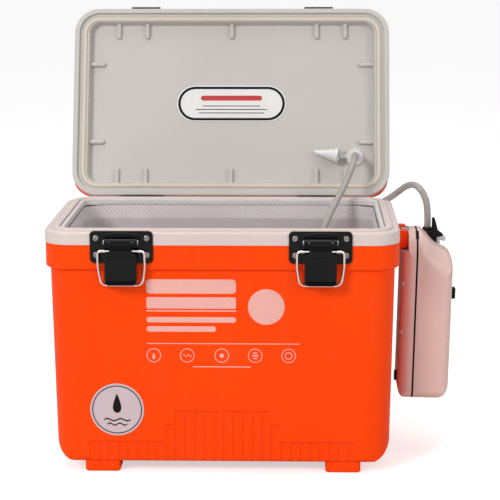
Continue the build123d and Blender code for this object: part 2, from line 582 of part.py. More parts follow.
with BuildPart() as lid_foam:
    add(lid_form(SHELL_IN + SKIN, SEAM_Z, LID_TOP - SKIN, LID_ROUND - SKIN))
    rounded_slab(*inset(5.0), HOLLOW_Z, SEAM_Z)
    rounded_slab(RECESS[0] + SKIN, RECESS[1] + SKIN, RECESS[2] + SKIN, HOLLOW_Z - 1.0,
                 PANEL_Z + SKIN, mode=Mode.SUBTRACT)
    rod((PORT_X, PORT_Y, PANEL_Z), (0, 0, 1), PORT_BODY, LID_TOP - PANEL_Z, mode=Mode.SUBTRACT)
    add(lid_screws, mode=Mode.SUBTRACT)
    add(strike_rivets.part, mode=Mode.SUBTRACT)

with BuildPart() as lid_label:
    with BuildSketch(Plane.XY.offset(PANEL_Z - 0.4)):
        RectangleRounded(110.5, 37.0, 18.2)
    extrude(amount=0.4)

with BuildPart() as lid_hinge_leaves:
    for side in (-1, 1):
        hinge_leaf(side, (RIM_Z + 1.0, RIM_Z + 21.5), [(0.0, 8.6)],
                   (HINGE_Y - 3.6, HINGE_Y - 0.6, HINGE_Z, RIM_Z + 9.0))
    add(lid_screws, mode=Mode.SUBTRACT)

with BuildPart() as lid_hinge_screws:
    add(lid_screws)

with BuildPart() as strikes:
    for side in (-1, 1):
        x = side * LATCH_X
        with BuildSketch(Plane.YZ.offset(x - 14.5)):
            with BuildLine():
                Polyline(
                    (-RIM_D / 2 + 2.5, RIM_Z + 8.3), (-RIM_D / 2 + 1.0, RIM_Z + 8.3),
                    (-RIM_D / 2 - 4.0, RIM_Z + 9.2), (-RIM_D / 2 - 4.6, RIM_Z + 9.8),
                    (-RIM_D / 2 - 4.6, RIM_Z + 12.8), (-RIM_D / 2 - 3.3, RIM_Z + 12.8),
                    (-RIM_D / 2 - 3.2, BAR_Z - WIRE_R - 0.35),
                    (-RIM_D / 2 + 1.0, BAR_Z - WIRE_R - 0.35),
                    (-RIM_D / 2 + 1.0, RIM_Z + 23.0), (-RIM_D / 2 + 2.5, RIM_Z + 23.0),
                    close=True,
                )
            make_face()
        extrude(amount=29.0)
    add(strike_rivets.part, mode=Mode.SUBTRACT)

# ---------------------------------------------------------------- air pump, in its own axes
NOTCH_X, NOTCH_LOW = 5.3, -17.2            # step in the back that takes the bracket
CLIP_T, CLIP_HALF, CLIP_TOP = 1.2, 8.0, -0.6
SEAT_X = NOTCH_X + CLIP_T                  # the clip's plate is let in flush
SEAL_T = 1.7
BACK_X, COVER_X = PUMP_SEAM - SEAL_T / 2, PUMP_SEAM + SEAL_T / 2
POST_R, POSTS = 3.5, [(y, z) for y in (-27.0, 27.0) for z in (-48.0, -93.2)]
CELL_R, CELL_Y, CELL_LOW, CELL_TOP = 13.1, 13.6, -150.2, -101.0
MOTOR_X, MOTOR_Z, MOTOR_R = 24.0, -60.2, 12.0
HEAD_Y, HEAD_LOW, BELLOWS_LOW = 11.0, -25.2, -39.2
VALVE_X, VALVE_Y, VALVE_LOW, VALVE_TOP = (18.5, 34.0), (6.5, 20.0), -18.2, -3.7
COLLAR_X, COLLAR_Y, COLLAR_TOP = 24.8, 12.0, -0.6
SWITCH_Z = -60.8
LEVER_HUB_X, LEVER_HUB_Z = 31.5, -6.7
AIR_Y, AIR_Z, BLEED_Z = 15.0, -11.4, -15.4
SHOULDER_LINE = [                          # top of the case, x and z, from its back
    (0.0, 0.0), (18.0, 0.0), (22.8, -4.2), (27.4, -9.4), (31.4, -13.2), (36.2, -16.4),
    (42.0, -18.9), (45.2, -21.9), (PUMP_T, -26.5),
]


def case_form(thin):
    """Outer form of the pump's case, moved in by thin on every side."""
    low, half = thin - PUMP_H, PUMP_D / 2 - thin
    with BuildPart() as form:
        for x, top in SHOULDER_LINE:
            with BuildSketch(Plane.YZ.offset(max(x - thin, thin))):
                with BuildLine():
                    FilletPolyline(
                        (half, top - thin), (half, low), (-half, low), (-half, top - thin),
                        close=True, radius=[PUMP_ROUND - thin, 9.0 - thin, 9.0 - thin,
                                            PUMP_ROUND - thin],
                    )
                make_face()
        loft(ruled=True)
        with BuildSketch(Plane.XZ) as side:
            with BuildLine():
                Polyline((thin, low + 9.0), (thin, 1.0), (PUMP_T - thin, 1.0),
                         (PUMP_T - thin, low + 15.0))
                RadiusArc((PUMP_T - thin, low + 15.0), (PUMP_T - 15.0, low), 15.0 - thin)
                Line((PUMP_T - 15.0, low), (9.0, low))
                RadiusArc((9.0, low), (thin, low + 9.0), 9.0 - thin)
            make_face()
        extrude(amount=PUMP_D, both=True, mode=Mode.INTERSECT)
        with BuildSketch(Plane.XY.offset(-PUMP_H)):
            with BuildLine():
                FilletPolyline(
                    (PUMP_T - thin, -half), (PUMP_T - thin, half), (thin, half),
                    (thin, -half), close=True,
                    radius=[8.0 - thin, 8.0 - thin, 10.5 - thin, 10.5 - thin],
                )
            make_face()
        extrude(amount=PUMP_H + 5.0, mode=Mode.INTERSECT)
    return form.part


def block(low, high, mode=Mode.ADD):
    """A box between two opposite corners, added to or cut from a piece."""
    size = [b - a for a, b in zip(low, high)]
    centre = tuple((a + b) / 2 for a, b in zip(low, high))
    with Locations(centre):
        Box(*size, mode=mode)


CASE = case_form(0.0)
HOLLOW = case_form(PUMP_WALL)

with BuildPart() as case_screws:
    for y, z in POSTS:
        rod((1.0, y, z), (1, 0, 0), 2.6, 1.6)
        rod((1.0, y, z), (1, 0, 0), 1.3, 24.0)

CLIP_SCREW_Z = -8.5
with BuildPart() as clip_screws:
    for y in (-4.5, 4.5):
        with BuildSketch(Plane(origin=(NOTCH_X, y, CLIP_SCREW_Z), z_dir=(1, 0, 0))):
            Circle(2.4)
        with BuildSketch(Plane(origin=(SEAT_X, y, CLIP_SCREW_Z), z_dir=(1, 0, 0))):
            Circle(1.2)
        loft()
        rod((SEAT_X, y, CLIP_SCREW_Z), (1, 0, 0), 1.2, 4.5)

with BuildPart() as pump_clip:
    with BuildSketch(Plane.XZ.offset(-CLIP_HALF)):
        with BuildLine():
            FilletPolyline((SEAT_X, -14.0), (SEAT_X, CLIP_TOP), (-1.6, CLIP_TOP), (-1.6, -7.0),
                           (-1.6 + CLIP_T, -7.0), radius=[1.8, 1.8, 0.5])
            Polyline((-1.6 + CLIP_T, -7.0), (-1.6 + CLIP_T, CLIP_TOP - CLIP_T),
                     (NOTCH_X, CLIP_TOP - CLIP_T), (NOTCH_X, -14.0), (SEAT_X, -14.0))
        make_face()
    extrude(amount=2 * CLIP_HALF)
    add(clip_screws.part, mode=Mode.SUBTRACT)

with BuildPart() as wall_pad:
    rod((-2.0, 0, -142.2), (1, 0, 0), 5.0, 2.0)

with BuildPart() as seal_tab:
    add(CASE)
    block((11.9, -25.5, -9.0), (14.9, -13.0, 2.0), mode=Mode.INTERSECT)
    add(HOLLOW, mode=Mode.SUBTRACT)

with BuildPart() as pump_back:
    add(CASE)
    block((BACK_X, -PUMP_D, -PUMP_H - 5), (PUMP_T + 5, PUMP_D, 5), mode=Mode.SUBTRACT)
    with BuildPart(mode=Mode.PRIVATE) as room:
        add(HOLLOW)
        block((-1, -PUMP_D, NOTCH_LOW - PUMP_WALL), (NOTCH_X + PUMP_WALL, PUMP_D, 5),
              mode=Mode.SUBTRACT)
        block((-1, -CLIP_HALF - 2.0, NOTCH_LOW - PUMP_WALL),
              (SEAT_X + PUMP_WALL, CLIP_HALF + 2.0, 5), mode=Mode.SUBTRACT)
    add(room.part, mode=Mode.SUBTRACT)
    block((-1, -PUMP_D, NOTCH_LOW), (NOTCH_X, PUMP_D, 5), mode=Mode.SUBTRACT)
    block((-1, -CLIP_HALF - 0.1, -14.1), (SEAT_X, CLIP_HALF + 0.1, 5), mode=Mode.SUBTRACT)
    for y, z in POSTS:
        rod((PUMP_WALL - 0.1, y, z), (1, 0, 0), POST_R, BACK_X - PUMP_WALL + 0.1)
    for y, z in POSTS:
        rod((-1.0, y, z), (1, 0, 0), 3.2, 2.0, mode=Mode.SUBTRACT)
    add(case_screws.part, mode=Mode.SUBTRACT)
    add(clip_screws.part, mode=Mode.SUBTRACT)
    add(seal_tab.part, mode=Mode.SUBTRACT)

with BuildPart() as pump_seal:
    add(CASE)
    block((-5, -PUMP_D, -PUMP_H - 5), (BACK_X, PUMP_D, 5), mode=Mode.SUBTRACT)
    block((COVER_X, -PUMP_D, -PUMP_H - 5), (PUMP_T + 5, PUMP_D, 5), mode=Mode.SUBTRACT)
    add(HOLLOW, mode=Mode.SUBTRACT)
    add(seal_tab.part)

with BuildPart() as valve_body:
    block((VALVE_X[0], VALVE_Y[0], VALVE_LOW), (VALVE_X[1], VALVE_Y[1], VALVE_TOP))
    fillet(valve_body.edges().filter_by(Axis.Z).group_by(Axis.X)[-1], 2.0)
    fillet(valve_body.faces().sort_by(Axis.Z)[-1].edges(), 1.0)
    rod((VALVE_X[1], AIR_Y, AIR_Z), (-1, 0, 0), 2.3, 3.0, mode=Mode.SUBTRACT)
    rod((VALVE_X[1], AIR_Y, BLEED_Z), (-1, 0, 0), 1.4, 2.5, mode=Mode.SUBTRACT)
    rod((LEVER_HUB_X, VALVE_Y[0], LEVER_HUB_Z), (0, 1, 0), 1.5, 5.0, mode=Mode.SUBTRACT)

with BuildPart() as hose_collar:
    rod((COLLAR_X, COLLAR_Y, VALVE_TOP), (0, 0, 1), NOSE_R, COLLAR_TOP - VALVE_TOP)
    fillet(hose_collar.faces().sort_by(Axis.Z)[-1].edges(), 0.8)
    rod((COLLAR_X, COLLAR_Y, VALVE_TOP), (0, 0, 1), SPIGOT_R, COLLAR_TOP - VALVE_TOP + 5.0)

with BuildPart() as air_nozzles:
    rod((31.0, AIR_Y, AIR_Z), (1, 0, 0), 2.3, 11.4)
    rod((39.4, AIR_Y, AIR_Z), (1, 0, 0), 2.8, 3.0)
    rod((31.5, AIR_Y, BLEED_Z), (1, 0, 0), 1.4, 6.0)
    rod((31.0, AIR_Y, AIR_Z), (1, 0, 0), 1.2, 11.4, mode=Mode.SUBTRACT)
    rod((31.5, AIR_Y, BLEED_Z), (1, 0, 0), 0.7, 6.0, mode=Mode.SUBTRACT)

with BuildPart() as valve_lever:
    hub = (LEVER_HUB_X, 2.2, LEVER_HUB_Z)
    rod(hub, (0, 1, 0), 2.4, 3.9)
    rod(hub, (0, 1, 0), 1.45, 8.8)
    with BuildSketch(Plane.XZ.offset(-6.1)):
        with BuildLine():
            Polyline((28.2, 9.2), (29.0, 10.0), (30.5, 9.7), (31.3, 7.8), (34.2, -2.2),
                     (38.6, -5.2), (39.2, -7.4), (33.0, -8.6), (28.4, -9.0), close=True)
        make_face()
    extrude(amount=3.9)

with BuildPart() as motor:
    rod((MOTOR_X, -15.0, MOTOR_Z), (0, 1, 0), MOTOR_R, 30.0)
    rod((MOTOR_X, 14.0, MOTOR_Z), (0, -1, 0), 1.05, 0.1, mode=Mode.SUBTRACT)
    rod((MOTOR_X, 15.0, MOTOR_Z), (0, -1, 0), 1.05, 9.0, mode=Mode.SUBTRACT)

with BuildPart() as crank_wheel:
    rod((MOTOR_X, 15.3, MOTOR_Z), (0, 1, 0), 7.0, 2.5)
    rod((MOTOR_X, 15.3, MOTOR_Z), (0, -1, 0), 1.0, 8.0)
    rod((MOTOR_X, 17.8, MOTOR_Z + 4.0), (0, 1, 0), 1.2, 3.8)

with BuildPart() as con_rod:
    rod((MOTOR_X, 18.2, MOTOR_Z), (0, 1, 0), 8.2, 2.6)
    block((MOTOR_X - 2.0, 18.2, MOTOR_Z + 7.0), (MOTOR_X + 2.0, 20.8, BELLOWS_LOW))
    rod((MOTOR_X, 18.2, MOTOR_Z), (0, 1, 0), 5.6, 2.6, mode=Mode.SUBTRACT)

with BuildPart() as bellows:
    for step in range(5):
        base = BELLOWS_LOW + 2.8 * step
        with Locations((MOTOR_X, HEAD_Y, base + 0.7)):
            Cone(9.5, 11.0, 1.4)
        with Locations((MOTOR_X, HEAD_Y, base + 2.1)):
            Cone(11.0, 9.5, 1.4)

with BuildPart() as air_head:
    block((14.5, HEAD_Y - 10.0, HEAD_LOW), (28.0, HEAD_Y + 8.0, VALVE_LOW))
    fillet(air_head.edges().filter_by(Axis.Z), 3.0)

with BuildPart() as cells:
    for y in (-CELL_Y, CELL_Y):
        rod((MOTOR_X, y, CELL_LOW), (0, 0, 1), CELL_R, CELL_TOP - CELL_LOW)
    fillet(cells.edges().filter_by(GeomType.CIRCLE), 1.2)
    for y in (-CELL_Y, CELL_Y):
        rod((MOTOR_X, y, CELL_TOP), (0, 0, 1), 3.5, 1.2)

with BuildPart() as cell_contacts:
    block((MOTOR_X - 7.0, -20.0, CELL_TOP + 1.2), (MOTOR_X + 7.0, 20.0, CELL_TOP + 1.8))
    block((MOTOR_X - 7.0, -20.0, PUMP_WALL - PUMP_H),
          (MOTOR_X + 7.0, 20.0, PUMP_WALL - PUMP_H + 0.6))
    for y in (-CELL_Y, CELL_Y):
        with Locations((MOTOR_X, y, (PUMP_WALL - PUMP_H + 0.6 + CELL_LOW) / 2)):
            Cone(6.0, 3.5, CELL_LOW - PUMP_WALL + PUMP_H - 0.6)

with BuildPart() as switch_knob:
    block((PUMP_T + 0.3, -4.0, SWITCH_Z - 5.0), (PUMP_T + KNOB_OUT, 4.0, SWITCH_Z + 5.0))
    fillet(switch_knob.faces().sort_by(Axis.X)[-1].edges(), 0.9)
    block((PUMP_T - 4.0, -1.5, SWITCH_Z - 2.5), (PUMP_T + 0.8, 1.5, SWITCH_Z + 2.5))
    block((PUMP_T - 4.0, -3.0, SWITCH_Z - 5.0), (PUMP_T - PUMP_WALL - 0.3, 3.0, SWITCH_Z + 5.0))

with BuildPart() as pump_cover:
    add(CASE)
    block((-5, -PUMP_D, -PUMP_H - 5), (COVER_X, PUMP_D, 5), mode=Mode.SUBTRACT)
    add(HOLLOW, mode=Mode.SUBTRACT)
    for y, z in POSTS:
        rod((COVER_X, y, z), (1, 0, 0), POST_R, PUMP_T - COVER_X - 1.0)
    wall_y = PUMP_D / 2 - 1.0
    block((COVER_X, -wall_y, CELL_TOP + 1.8), (PUMP_T - 1.0, wall_y, CELL_TOP + 3.6))
    for y in (-9.0, 9.0):
        block((MOTOR_X + 8.0, y - 1.5, MOTOR_Z - 5.0), (PUMP_T - 1.0, y + 1.5, MOTOR_Z + 5.0))
    rod((MOTOR_X, -16.0, MOTOR_Z), (0, 1, 0), MOTOR_R + 0.05, 32.0, mode=Mode.SUBTRACT)
    block((VALVE_X[0], VALVE_Y[0], VALVE_LOW - 3.0), (VALVE_X[1], VALVE_Y[1], 1.0),
          mode=Mode.SUBTRACT)
    rod((33.0, AIR_Y, BLEED_Z), (1, 0, 0), 1.8, 8.0, mode=Mode.SUBTRACT)
    block((PUMP_T - 8.0, -2.0, SWITCH_Z - 6.5), (PUMP_T + 1.0, 2.0, SWITCH_Z + 6.5),
          mode=Mode.SUBTRACT)
    add(case_screws.part, mode=Mode.SUBTRACT)
    add(seal_tab.part, mode=Mode.SUBTRACT)

# ---------------------------------------------------------------- hoses, air stone, sticker
STONE_X, STONE_Y, STONE_R = 94.0, 15.0, 7.5
STONE_LOW, STONE_TOP = FLOOR_Z + 2.3, FLOOR_Z + 28.0
LID_AT_REST = TUB.inverse() * LID


def lid_point(x, y, z):
    """Where a point of the shut lid stands in the tub's axes with the lid open."""
    return tuple((LID_AT_REST * Location((x, y, z))).position)


def hose(points):
    """Round hollow hose along a route with eased corners."""
    runs = [hypot(*(b - a for a, b in zip(p, q))) for p, q in zip(points, points[1:])]
    radii = []
    for before, corner, after in zip(points, points[1:], points[2:]):
        turn = (Vector(*corner) - Vector(*before)).get_angle(Vector(*after) - Vector(*corner))
        i = len(radii)
        radii.append(0.45 * min(runs[i], runs[i + 1]) / tan(radians(turn) / 2))
    with BuildPart() as made:
        with BuildLine() as route:
            FilletPolyline(*points, radius=radii)
        with BuildSketch(Plane(origin=route.line @ 0, z_dir=route.line % 0)):
            Circle(HOSE_R)
            Circle(BORE, mode=Mode.SUBTRACT)
        sweep(path=route.line)
    return made


def mouth_point(rise):
    """Point straight above the pump's hose collar, in the tub's axes."""
    return tuple((TUB.inverse() * PUMP * Location((COLLAR_X, COLLAR_Y, COLLAR_TOP + rise))).position)


hose_outer = hose([
    mouth_point(0.0), mouth_point(13.0), (187.5, 10, 239), (179.5, 14, 250), (172, 33, 247),
    (166, 60, 237), (161, 85, 228), (156, 108, 220), (150, 130, 213.5), (143, 152, 208),
    (136, 172, 206), (129, 188, 211), (125, 194.5, 224), (124, 188, 237),
    lid_point(PORT_X, PORT_Y, NOSE_OUT + 13.0), lid_point(PORT_X, PORT_Y, NOSE_OUT),
])
hose_inner = hose([
    lid_point(PORT_X, PORT_Y, NOSE_IN), lid_point(PORT_X, PORT_Y, NOSE_IN - 12.0),
    (122.8, 98, 260), (118.1, 84, 249.6), (111.9, 68, 238.5), (104.5, 53, 227), (96.6, 40, 214),
    (90.5, 29, 200), (88, 21, 183), (88.5, 16.5, 160), (90.5, 15, 130), (92.8, 15.5, 100),
    (STONE_X, STONE_Y, 80), (STONE_X, STONE_Y, STONE_TOP + 4.0),
])

with BuildPart() as air_stone:
    rod((STONE_X, STONE_Y, STONE_LOW), (0, 0, 1), STONE_R, STONE_TOP - STONE_LOW)
    fillet(air_stone.edges().filter_by(GeomType.CIRCLE), 1.2)
    rod((STONE_X, STONE_Y, STONE_TOP - 0.1), (0, 0, 1), NOSE_R - 1.0, 4.1)
    rod((STONE_X, STONE_Y, STONE_TOP), (0, 0, 1), SPIGOT_R, 10.0)

with BuildPart() as size_sticker:
    with BuildSketch(front_plane(-95.0, 60.0)):
        Circle(24.4)
    extrude(amount=0.4)

# ---------------------------------------------------------------- keep every piece
TUB_PIECES = {
    "outer_shell": outer_shell, "liner": liner, "foam_core": foam_core, "net_liner": net_liner,
    "net_hoop": net_hoop, "net_hem": net_hem, "tub_hinge_leaves": tub_hinge_leaves,
    "hinge_pins": hinge_pins, "tub_hinge_screws": tub_hinge_screws,
    "latch_plates": latch_plates, "latch_rivets": latch_rivets, "lever_pins": lever_pins,
    "latch_lever_left": latch_lever(-1), "latch_lever_right": latch_lever(1),
    "latch_bail_left": latch_bail(-1), "latch_bail_right": latch_bail(1),
    "pump_bracket": pump_bracket, "bracket_screws": bracket_screws,
    "size_sticker": size_sticker, "air_stone": air_stone,
    "hose_outer": hose_outer, "hose_inner": hose_inner,
}
LID_PIECES = {
    "lid_panel": lid_panel, "lid_shell": lid_shell, "lid_foam": lid_foam,
    "lid_gasket": lid_gasket, "lid_label": lid_label, "lid_hinge_leaves": lid_hinge_leaves,
    "lid_hinge_screws": lid_hinge_screws, "strikes": strikes, "strike_rivets": strike_rivets,
    "port_grommet": port_grommet, "stopper_plug": stopper_plug,
}
PUMP_PIECES = {
    "pump_back": pump_back, "pump_seal": pump_seal, "pump_cover": pump_cover,
    "case_screws": case_screws, "pump_clip": pump_clip, "clip_screws": clip_screws,
    "wall_pad": wall_pad, "valve_body": valve_body, "hose_collar": hose_collar,
    "air_nozzles": air_nozzles, "valve_lever": valve_lever, "motor": motor,
    "crank_wheel": crank_wheel, "con_rod": con_rod, "bellows": bellows, "air_head": air_head,
    "cells": cells, "cell_contacts": cell_contacts, "switch_knob": switch_knob,
}
for frame, pieces in ((TUB, TUB_PIECES), (LID, LID_PIECES), (PUMP, PUMP_PIECES)):
    for name, piece in pieces.items():
        keep(piece, name, frame)
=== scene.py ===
"""Insulated live-bait box with its lid open, its net liner hung and its air pump clipped on.

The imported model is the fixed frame. Each sub-assembly is a class that dresses its own nodes
and adds the pieces that the solids leave to the scene. Lengths are metres in the row's axes;
helper points given in the tub's axes, in millimetres, go through ``tub_point``.
"""
from __future__ import annotations

import json
import logging
import math
import random
from dataclasses import dataclass, field
from enum import Enum

import bmesh
import bpy
from mathutils import Matrix, Vector

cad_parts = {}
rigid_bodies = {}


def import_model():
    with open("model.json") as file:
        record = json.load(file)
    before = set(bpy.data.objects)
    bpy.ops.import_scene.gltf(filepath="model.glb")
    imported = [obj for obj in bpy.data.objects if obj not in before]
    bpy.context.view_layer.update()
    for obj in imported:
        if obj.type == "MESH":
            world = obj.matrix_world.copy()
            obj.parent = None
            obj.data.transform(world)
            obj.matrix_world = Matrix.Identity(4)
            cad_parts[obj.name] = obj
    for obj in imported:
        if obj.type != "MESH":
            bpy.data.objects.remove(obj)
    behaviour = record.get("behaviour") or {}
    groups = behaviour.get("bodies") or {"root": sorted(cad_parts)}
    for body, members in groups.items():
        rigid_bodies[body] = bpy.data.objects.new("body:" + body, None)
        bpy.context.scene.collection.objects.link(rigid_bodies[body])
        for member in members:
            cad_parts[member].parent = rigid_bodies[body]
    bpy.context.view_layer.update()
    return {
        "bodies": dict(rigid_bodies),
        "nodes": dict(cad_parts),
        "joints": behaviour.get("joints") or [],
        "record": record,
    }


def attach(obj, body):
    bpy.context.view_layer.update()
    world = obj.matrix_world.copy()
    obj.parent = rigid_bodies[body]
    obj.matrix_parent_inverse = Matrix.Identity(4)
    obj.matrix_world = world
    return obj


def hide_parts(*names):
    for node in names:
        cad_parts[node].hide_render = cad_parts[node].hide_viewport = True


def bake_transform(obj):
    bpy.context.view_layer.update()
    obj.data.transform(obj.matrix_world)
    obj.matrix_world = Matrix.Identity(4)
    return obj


LOG = logging.getLogger("bait_box")
MM = 0.001
ROW_X, ROW_Y = 28.44, 42.9          # the row's origin in the tub's axes, mm

Colour = tuple[float, float, float, float]
Flat = tuple[float, float]
Place = tuple[float, float, float]
Socket = bpy.types.NodeSocket
Marks = tuple[tuple, ...]


def srgb(red: int, green: int, blue: int) -> Colour:
    """Scene-linear colour of an 8-bit display colour.

    Args:
        red: channel from 0 to 255.
        green: likewise.
        blue: likewise.

    Returns:
        The opaque colour.
    """
    def linear(level: int) -> float:
        """The channel in linear light."""
        value = level / 255.0
        return value / 12.92 if value <= 0.04045 else ((value + 0.055) / 1.055) ** 2.4
    return linear(red), linear(green), linear(blue), 1.0


def tinted(colour: Colour, factor: float) -> Colour:
    """The colour with its channels times a factor, up to full."""
    return tuple(min(1.0, level * factor) for level in colour[:3]) + (1.0,)


def tub_point(x: float, y: float, z: float) -> Vector:
    """Row-frame point, in metres, of a point in the tub's axes, in millimetres."""
    return Vector(((x - ROW_X) * MM, (y - ROW_Y) * MM, z * MM))


# ---- Node trees
@dataclass
class Graph:
    """The node tree of a material or a group, with short calls that add and feed nodes."""

    tree: bpy.types.NodeTree

    def add(self, kind: str, feeds: dict | None = None,
            **settings: object) -> bpy.types.Node:
        """Adds one node.

        Args:
            kind: Blender's name for the node type.
            feeds: input name or index to a value, or to the output socket linked to it.
            settings: the node's own properties.

        Returns:
            The new node.
        """
        node = self.tree.nodes.new(kind)
        for name, value in settings.items():
            setattr(node, name, value)
        for key, value in (feeds or {}).items():
            if isinstance(value, Socket):
                self.tree.links.new(value, node.inputs[key])
            else:
                node.inputs[key].default_value = value
        return node

    def math(self, operation: str, *values: Socket | float) -> Socket:
        """Result socket of a Math node over up to three values or sockets."""
        node = self.add("ShaderNodeMath", dict(enumerate(values)), operation=operation)
        return node.outputs[0]

    def spread(self, value: Socket, low: float, high: float,
               to_low: float = 0.0, to_high: float = 1.0) -> Socket:
        """Result socket of a clamped Map Range node.

        Args:
            value: what is mapped.
            low: its value that gives to_low.
            high: its value that gives to_high.
            to_low: result at and beyond low.
            to_high: result at and beyond high.

        Returns:
            The mapped value's socket.
        """
        feeds = {"Value": value, "From Min": low, "From Max": high,
                 "To Min": to_low, "To Max": to_high}
        return self.add("ShaderNodeMapRange", feeds).outputs["Result"]

    def blend(self, factor: Socket | float, first: Socket | Colour,
              second: Socket | Colour) -> Socket:
        """Colour socket between two colours.

        Args:
            factor: 0 gives the first colour and 1 the second.
            first: colour or socket.
            second: colour or socket.

        Returns:
            The mixed colour's socket.
        """
        node = self.add("ShaderNodeMix", data_type="RGBA")
        for index, value in ((0, factor), (6, first), (7, second)):
            if isinstance(value, Socket):
                self.tree.links.new(value, node.inputs[index])
            else:
                node.inputs[index].default_value = value
        return node.outputs[2]

    def bump(self, height: Socket, distance: float, normal: Socket | None = None) -> Socket:
        """Normal socket of a Bump node.

        Args:
            height: the relief, from 0 to 1.
            distance: how high 1 stands, in metres.
            normal: what it stands on, or the plain surface.

        Returns:
            The bumped normal's socket.
        """
        feeds = {"Height": height, "Distance": distance}
        if normal is not None:
            feeds["Normal"] = normal
        return self.add("ShaderNodeBump", feeds).outputs[0]

    def feed(self, node: bpy.types.Node, **sockets: Socket) -> None:
        """Links sockets to a node's inputs, whose names are given with _ for a space."""
        for name, socket in sockets.items():
            self.tree.links.new(socket, node.inputs[name.replace("_", " ")])


def set_inputs(node: bpy.types.Node, **values: float | Colour) -> None:
    """Sets constants on a node's own inputs, whose names are given with _ for a space."""
    for name, value in values.items():
        node.inputs[name.replace("_", " ")].default_value = value


def new_group(name: str, inputs: dict[str, float], outputs: dict[str, str]) -> tuple:
    """Starts a shader node group.

    Args:
        name: the group's name.
        inputs: float input names and their defaults.
        outputs: output names and their socket types.

    Returns:
        The group, its Graph, its input node and its output node.
    """
    group = bpy.data.node_groups.new(name, "ShaderNodeTree")
    for label, value in inputs.items():
        socket = group.interface.new_socket(label, in_out="INPUT", socket_type="NodeSocketFloat")
        socket.default_value = value
    for label, kind in outputs.items():
        group.interface.new_socket(label, in_out="OUTPUT", socket_type=kind)
    graph = Graph(group)
    return group, graph, graph.add("NodeGroupInput"), graph.add("NodeGroupOutput")


class Effects:
    """Shared effects, each built once as a node group."""

    _made: dict[str, bpy.types.NodeTree] = {}

    @classmethod
    def get(cls, name: str) -> bpy.types.NodeTree:
        """The group of that name, built when it is first asked for."""
        if name not in cls._made:
            cls._made[name] = getattr(cls, f"_{name}")()
        return cls._made[name]

    @staticmethod
    def _mould_grain() -> bpy.types.NodeTree:
        """Fine moulded grain with a slow change of tone over it.

        Returns:
            The group.
        """
        group, graph, source, sink = new_group(
            "Mould grain", {"Scale": 900.0, "Slow scale": 9.0},
            {"Height": "NodeSocketFloat", "Tone": "NodeSocketFloat"})
        place = graph.add("ShaderNodeTexCoord").outputs["Object"]
        fine = graph.add("ShaderNodeTexNoise", {"Vector": place, "Scale": source.outputs["Scale"],
                                                "Detail": 2.0, "Roughness": 0.5})
        slow = graph.add("ShaderNodeTexNoise", {"Vector": place, "Detail": 3.0,
                                                "Scale": source.outputs["Slow scale"]})
        graph.feed(sink, Height=fine.outputs["Fac"],
                   Tone=graph.spread(slow.outputs["Fac"], 0.3, 0.7))
        return group

    @staticmethod
    def _soft_edge() -> bpy.types.NodeTree:
        """Rounded-over edges: a softened normal, and a mask that is 1 along the edges.

        Returns:
            The group.
        """
        group, graph, source, sink = new_group(
            "Soft edge", {"Radius": 0.0006},
            {"Normal": "NodeSocketVector", "Edge": "NodeSocketFloat"})
        soft = graph.add("ShaderNodeBevel", {"Radius": source.outputs["Radius"]}, samples=6)
        true = graph.add("ShaderNodeNewGeometry").outputs["True Normal"]
        facing = graph.add("ShaderNodeVectorMath", {0: soft.outputs[0], 1: true},
                           operation="DOT_PRODUCT")
        graph.feed(sink, Normal=soft.outputs[0],
                   Edge=graph.spread(facing.outputs["Value"], 0.99, 0.8))
        return group

    @staticmethod
    def _handling() -> bpy.types.NodeTree:
        """Faint scuffs and settled dust from use: a mask over the whole surface.

        Returns:
            The group.
        """
        group, graph, source, sink = new_group(
            "Handling marks", {"Scale": 60.0, "Amount": 0.5}, {"Mask": "NodeSocketFloat"})
        place = graph.add("ShaderNodeTexCoord").outputs["Object"]
        stretch = graph.add("ShaderNodeMapping", {"Vector": place, "Scale": (1.0, 1.0, 0.25)})
        marks = graph.add("ShaderNodeTexNoise", {"Vector": stretch.outputs[0], "Detail": 6.0,
                                                 "Scale": source.outputs["Scale"],
                                                 "Roughness": 0.65})
        peaks = graph.spread(marks.outputs["Fac"], 0.5, 0.75)
        graph.feed(sink, Mask=graph.math("MULTIPLY", peaks, source.outputs["Amount"]))
        return group

    @staticmethod
    def _net_weave() -> bpy.types.NodeTree:
        """Knotless net over the UV map, whose unit is a metre: where thread is, and its height.

        Returns:
            The group.
        """
        group, graph, source, sink = new_group(
            "Net weave", {"Pitch": 0.0024, "Thread": 0.42},
            {"Thread": "NodeSocketFloat", "Height": "NodeSocketFloat"})
        flat = graph.add("ShaderNodeSeparateXYZ", {0: graph.add("ShaderNodeUVMap").outputs[0]})
        along = graph.math("ADD", flat.outputs[0], flat.outputs[1])
        across = graph.math("SUBTRACT", flat.outputs[0], flat.outputs[1])
        strands = []
        for run in (along, across):
            cell = graph.math("DIVIDE", run, source.outputs["Pitch"])
            saw = graph.math("FRACT", cell)
            middle = graph.math("ABSOLUTE", graph.math("SUBTRACT", saw, 0.5))
            strands.append(graph.math("SUBTRACT", source.outputs["Thread"],
                                      graph.math("MULTIPLY", middle, 2.0)))
        crest = graph.math("MAXIMUM", strands[0], strands[1])
        graph.feed(sink, Thread=graph.spread(crest, 0.0, 0.06), Height=crest)
        return group


def group_node(graph: Graph, name: str, **values: float) -> bpy.types.Node:
    """Places a shared effect in a material, with its own values.

    Args:
        graph: the material's graph.
        name: the effect's name in Effects.
        values: input names, with _ for a space, and their values.

    Returns:
        The group node.
    """
    node = graph.add("ShaderNodeGroup", node_tree=Effects.get(name))
    set_inputs(node, **values)
    return node


def new_material(name: str) -> tuple[bpy.types.Material, Graph, bpy.types.Node]:
    """Starts a material.

    Args:
        name: the finish's name.

    Returns:
        The material, its graph and its Principled BSDF.
    """
    material = bpy.data.materials.new(name)
    material.use_nodes = True
    graph = Graph(material.node_tree)
    shader = material.node_tree.nodes["Principled BSDF"]
    return material, graph, shader


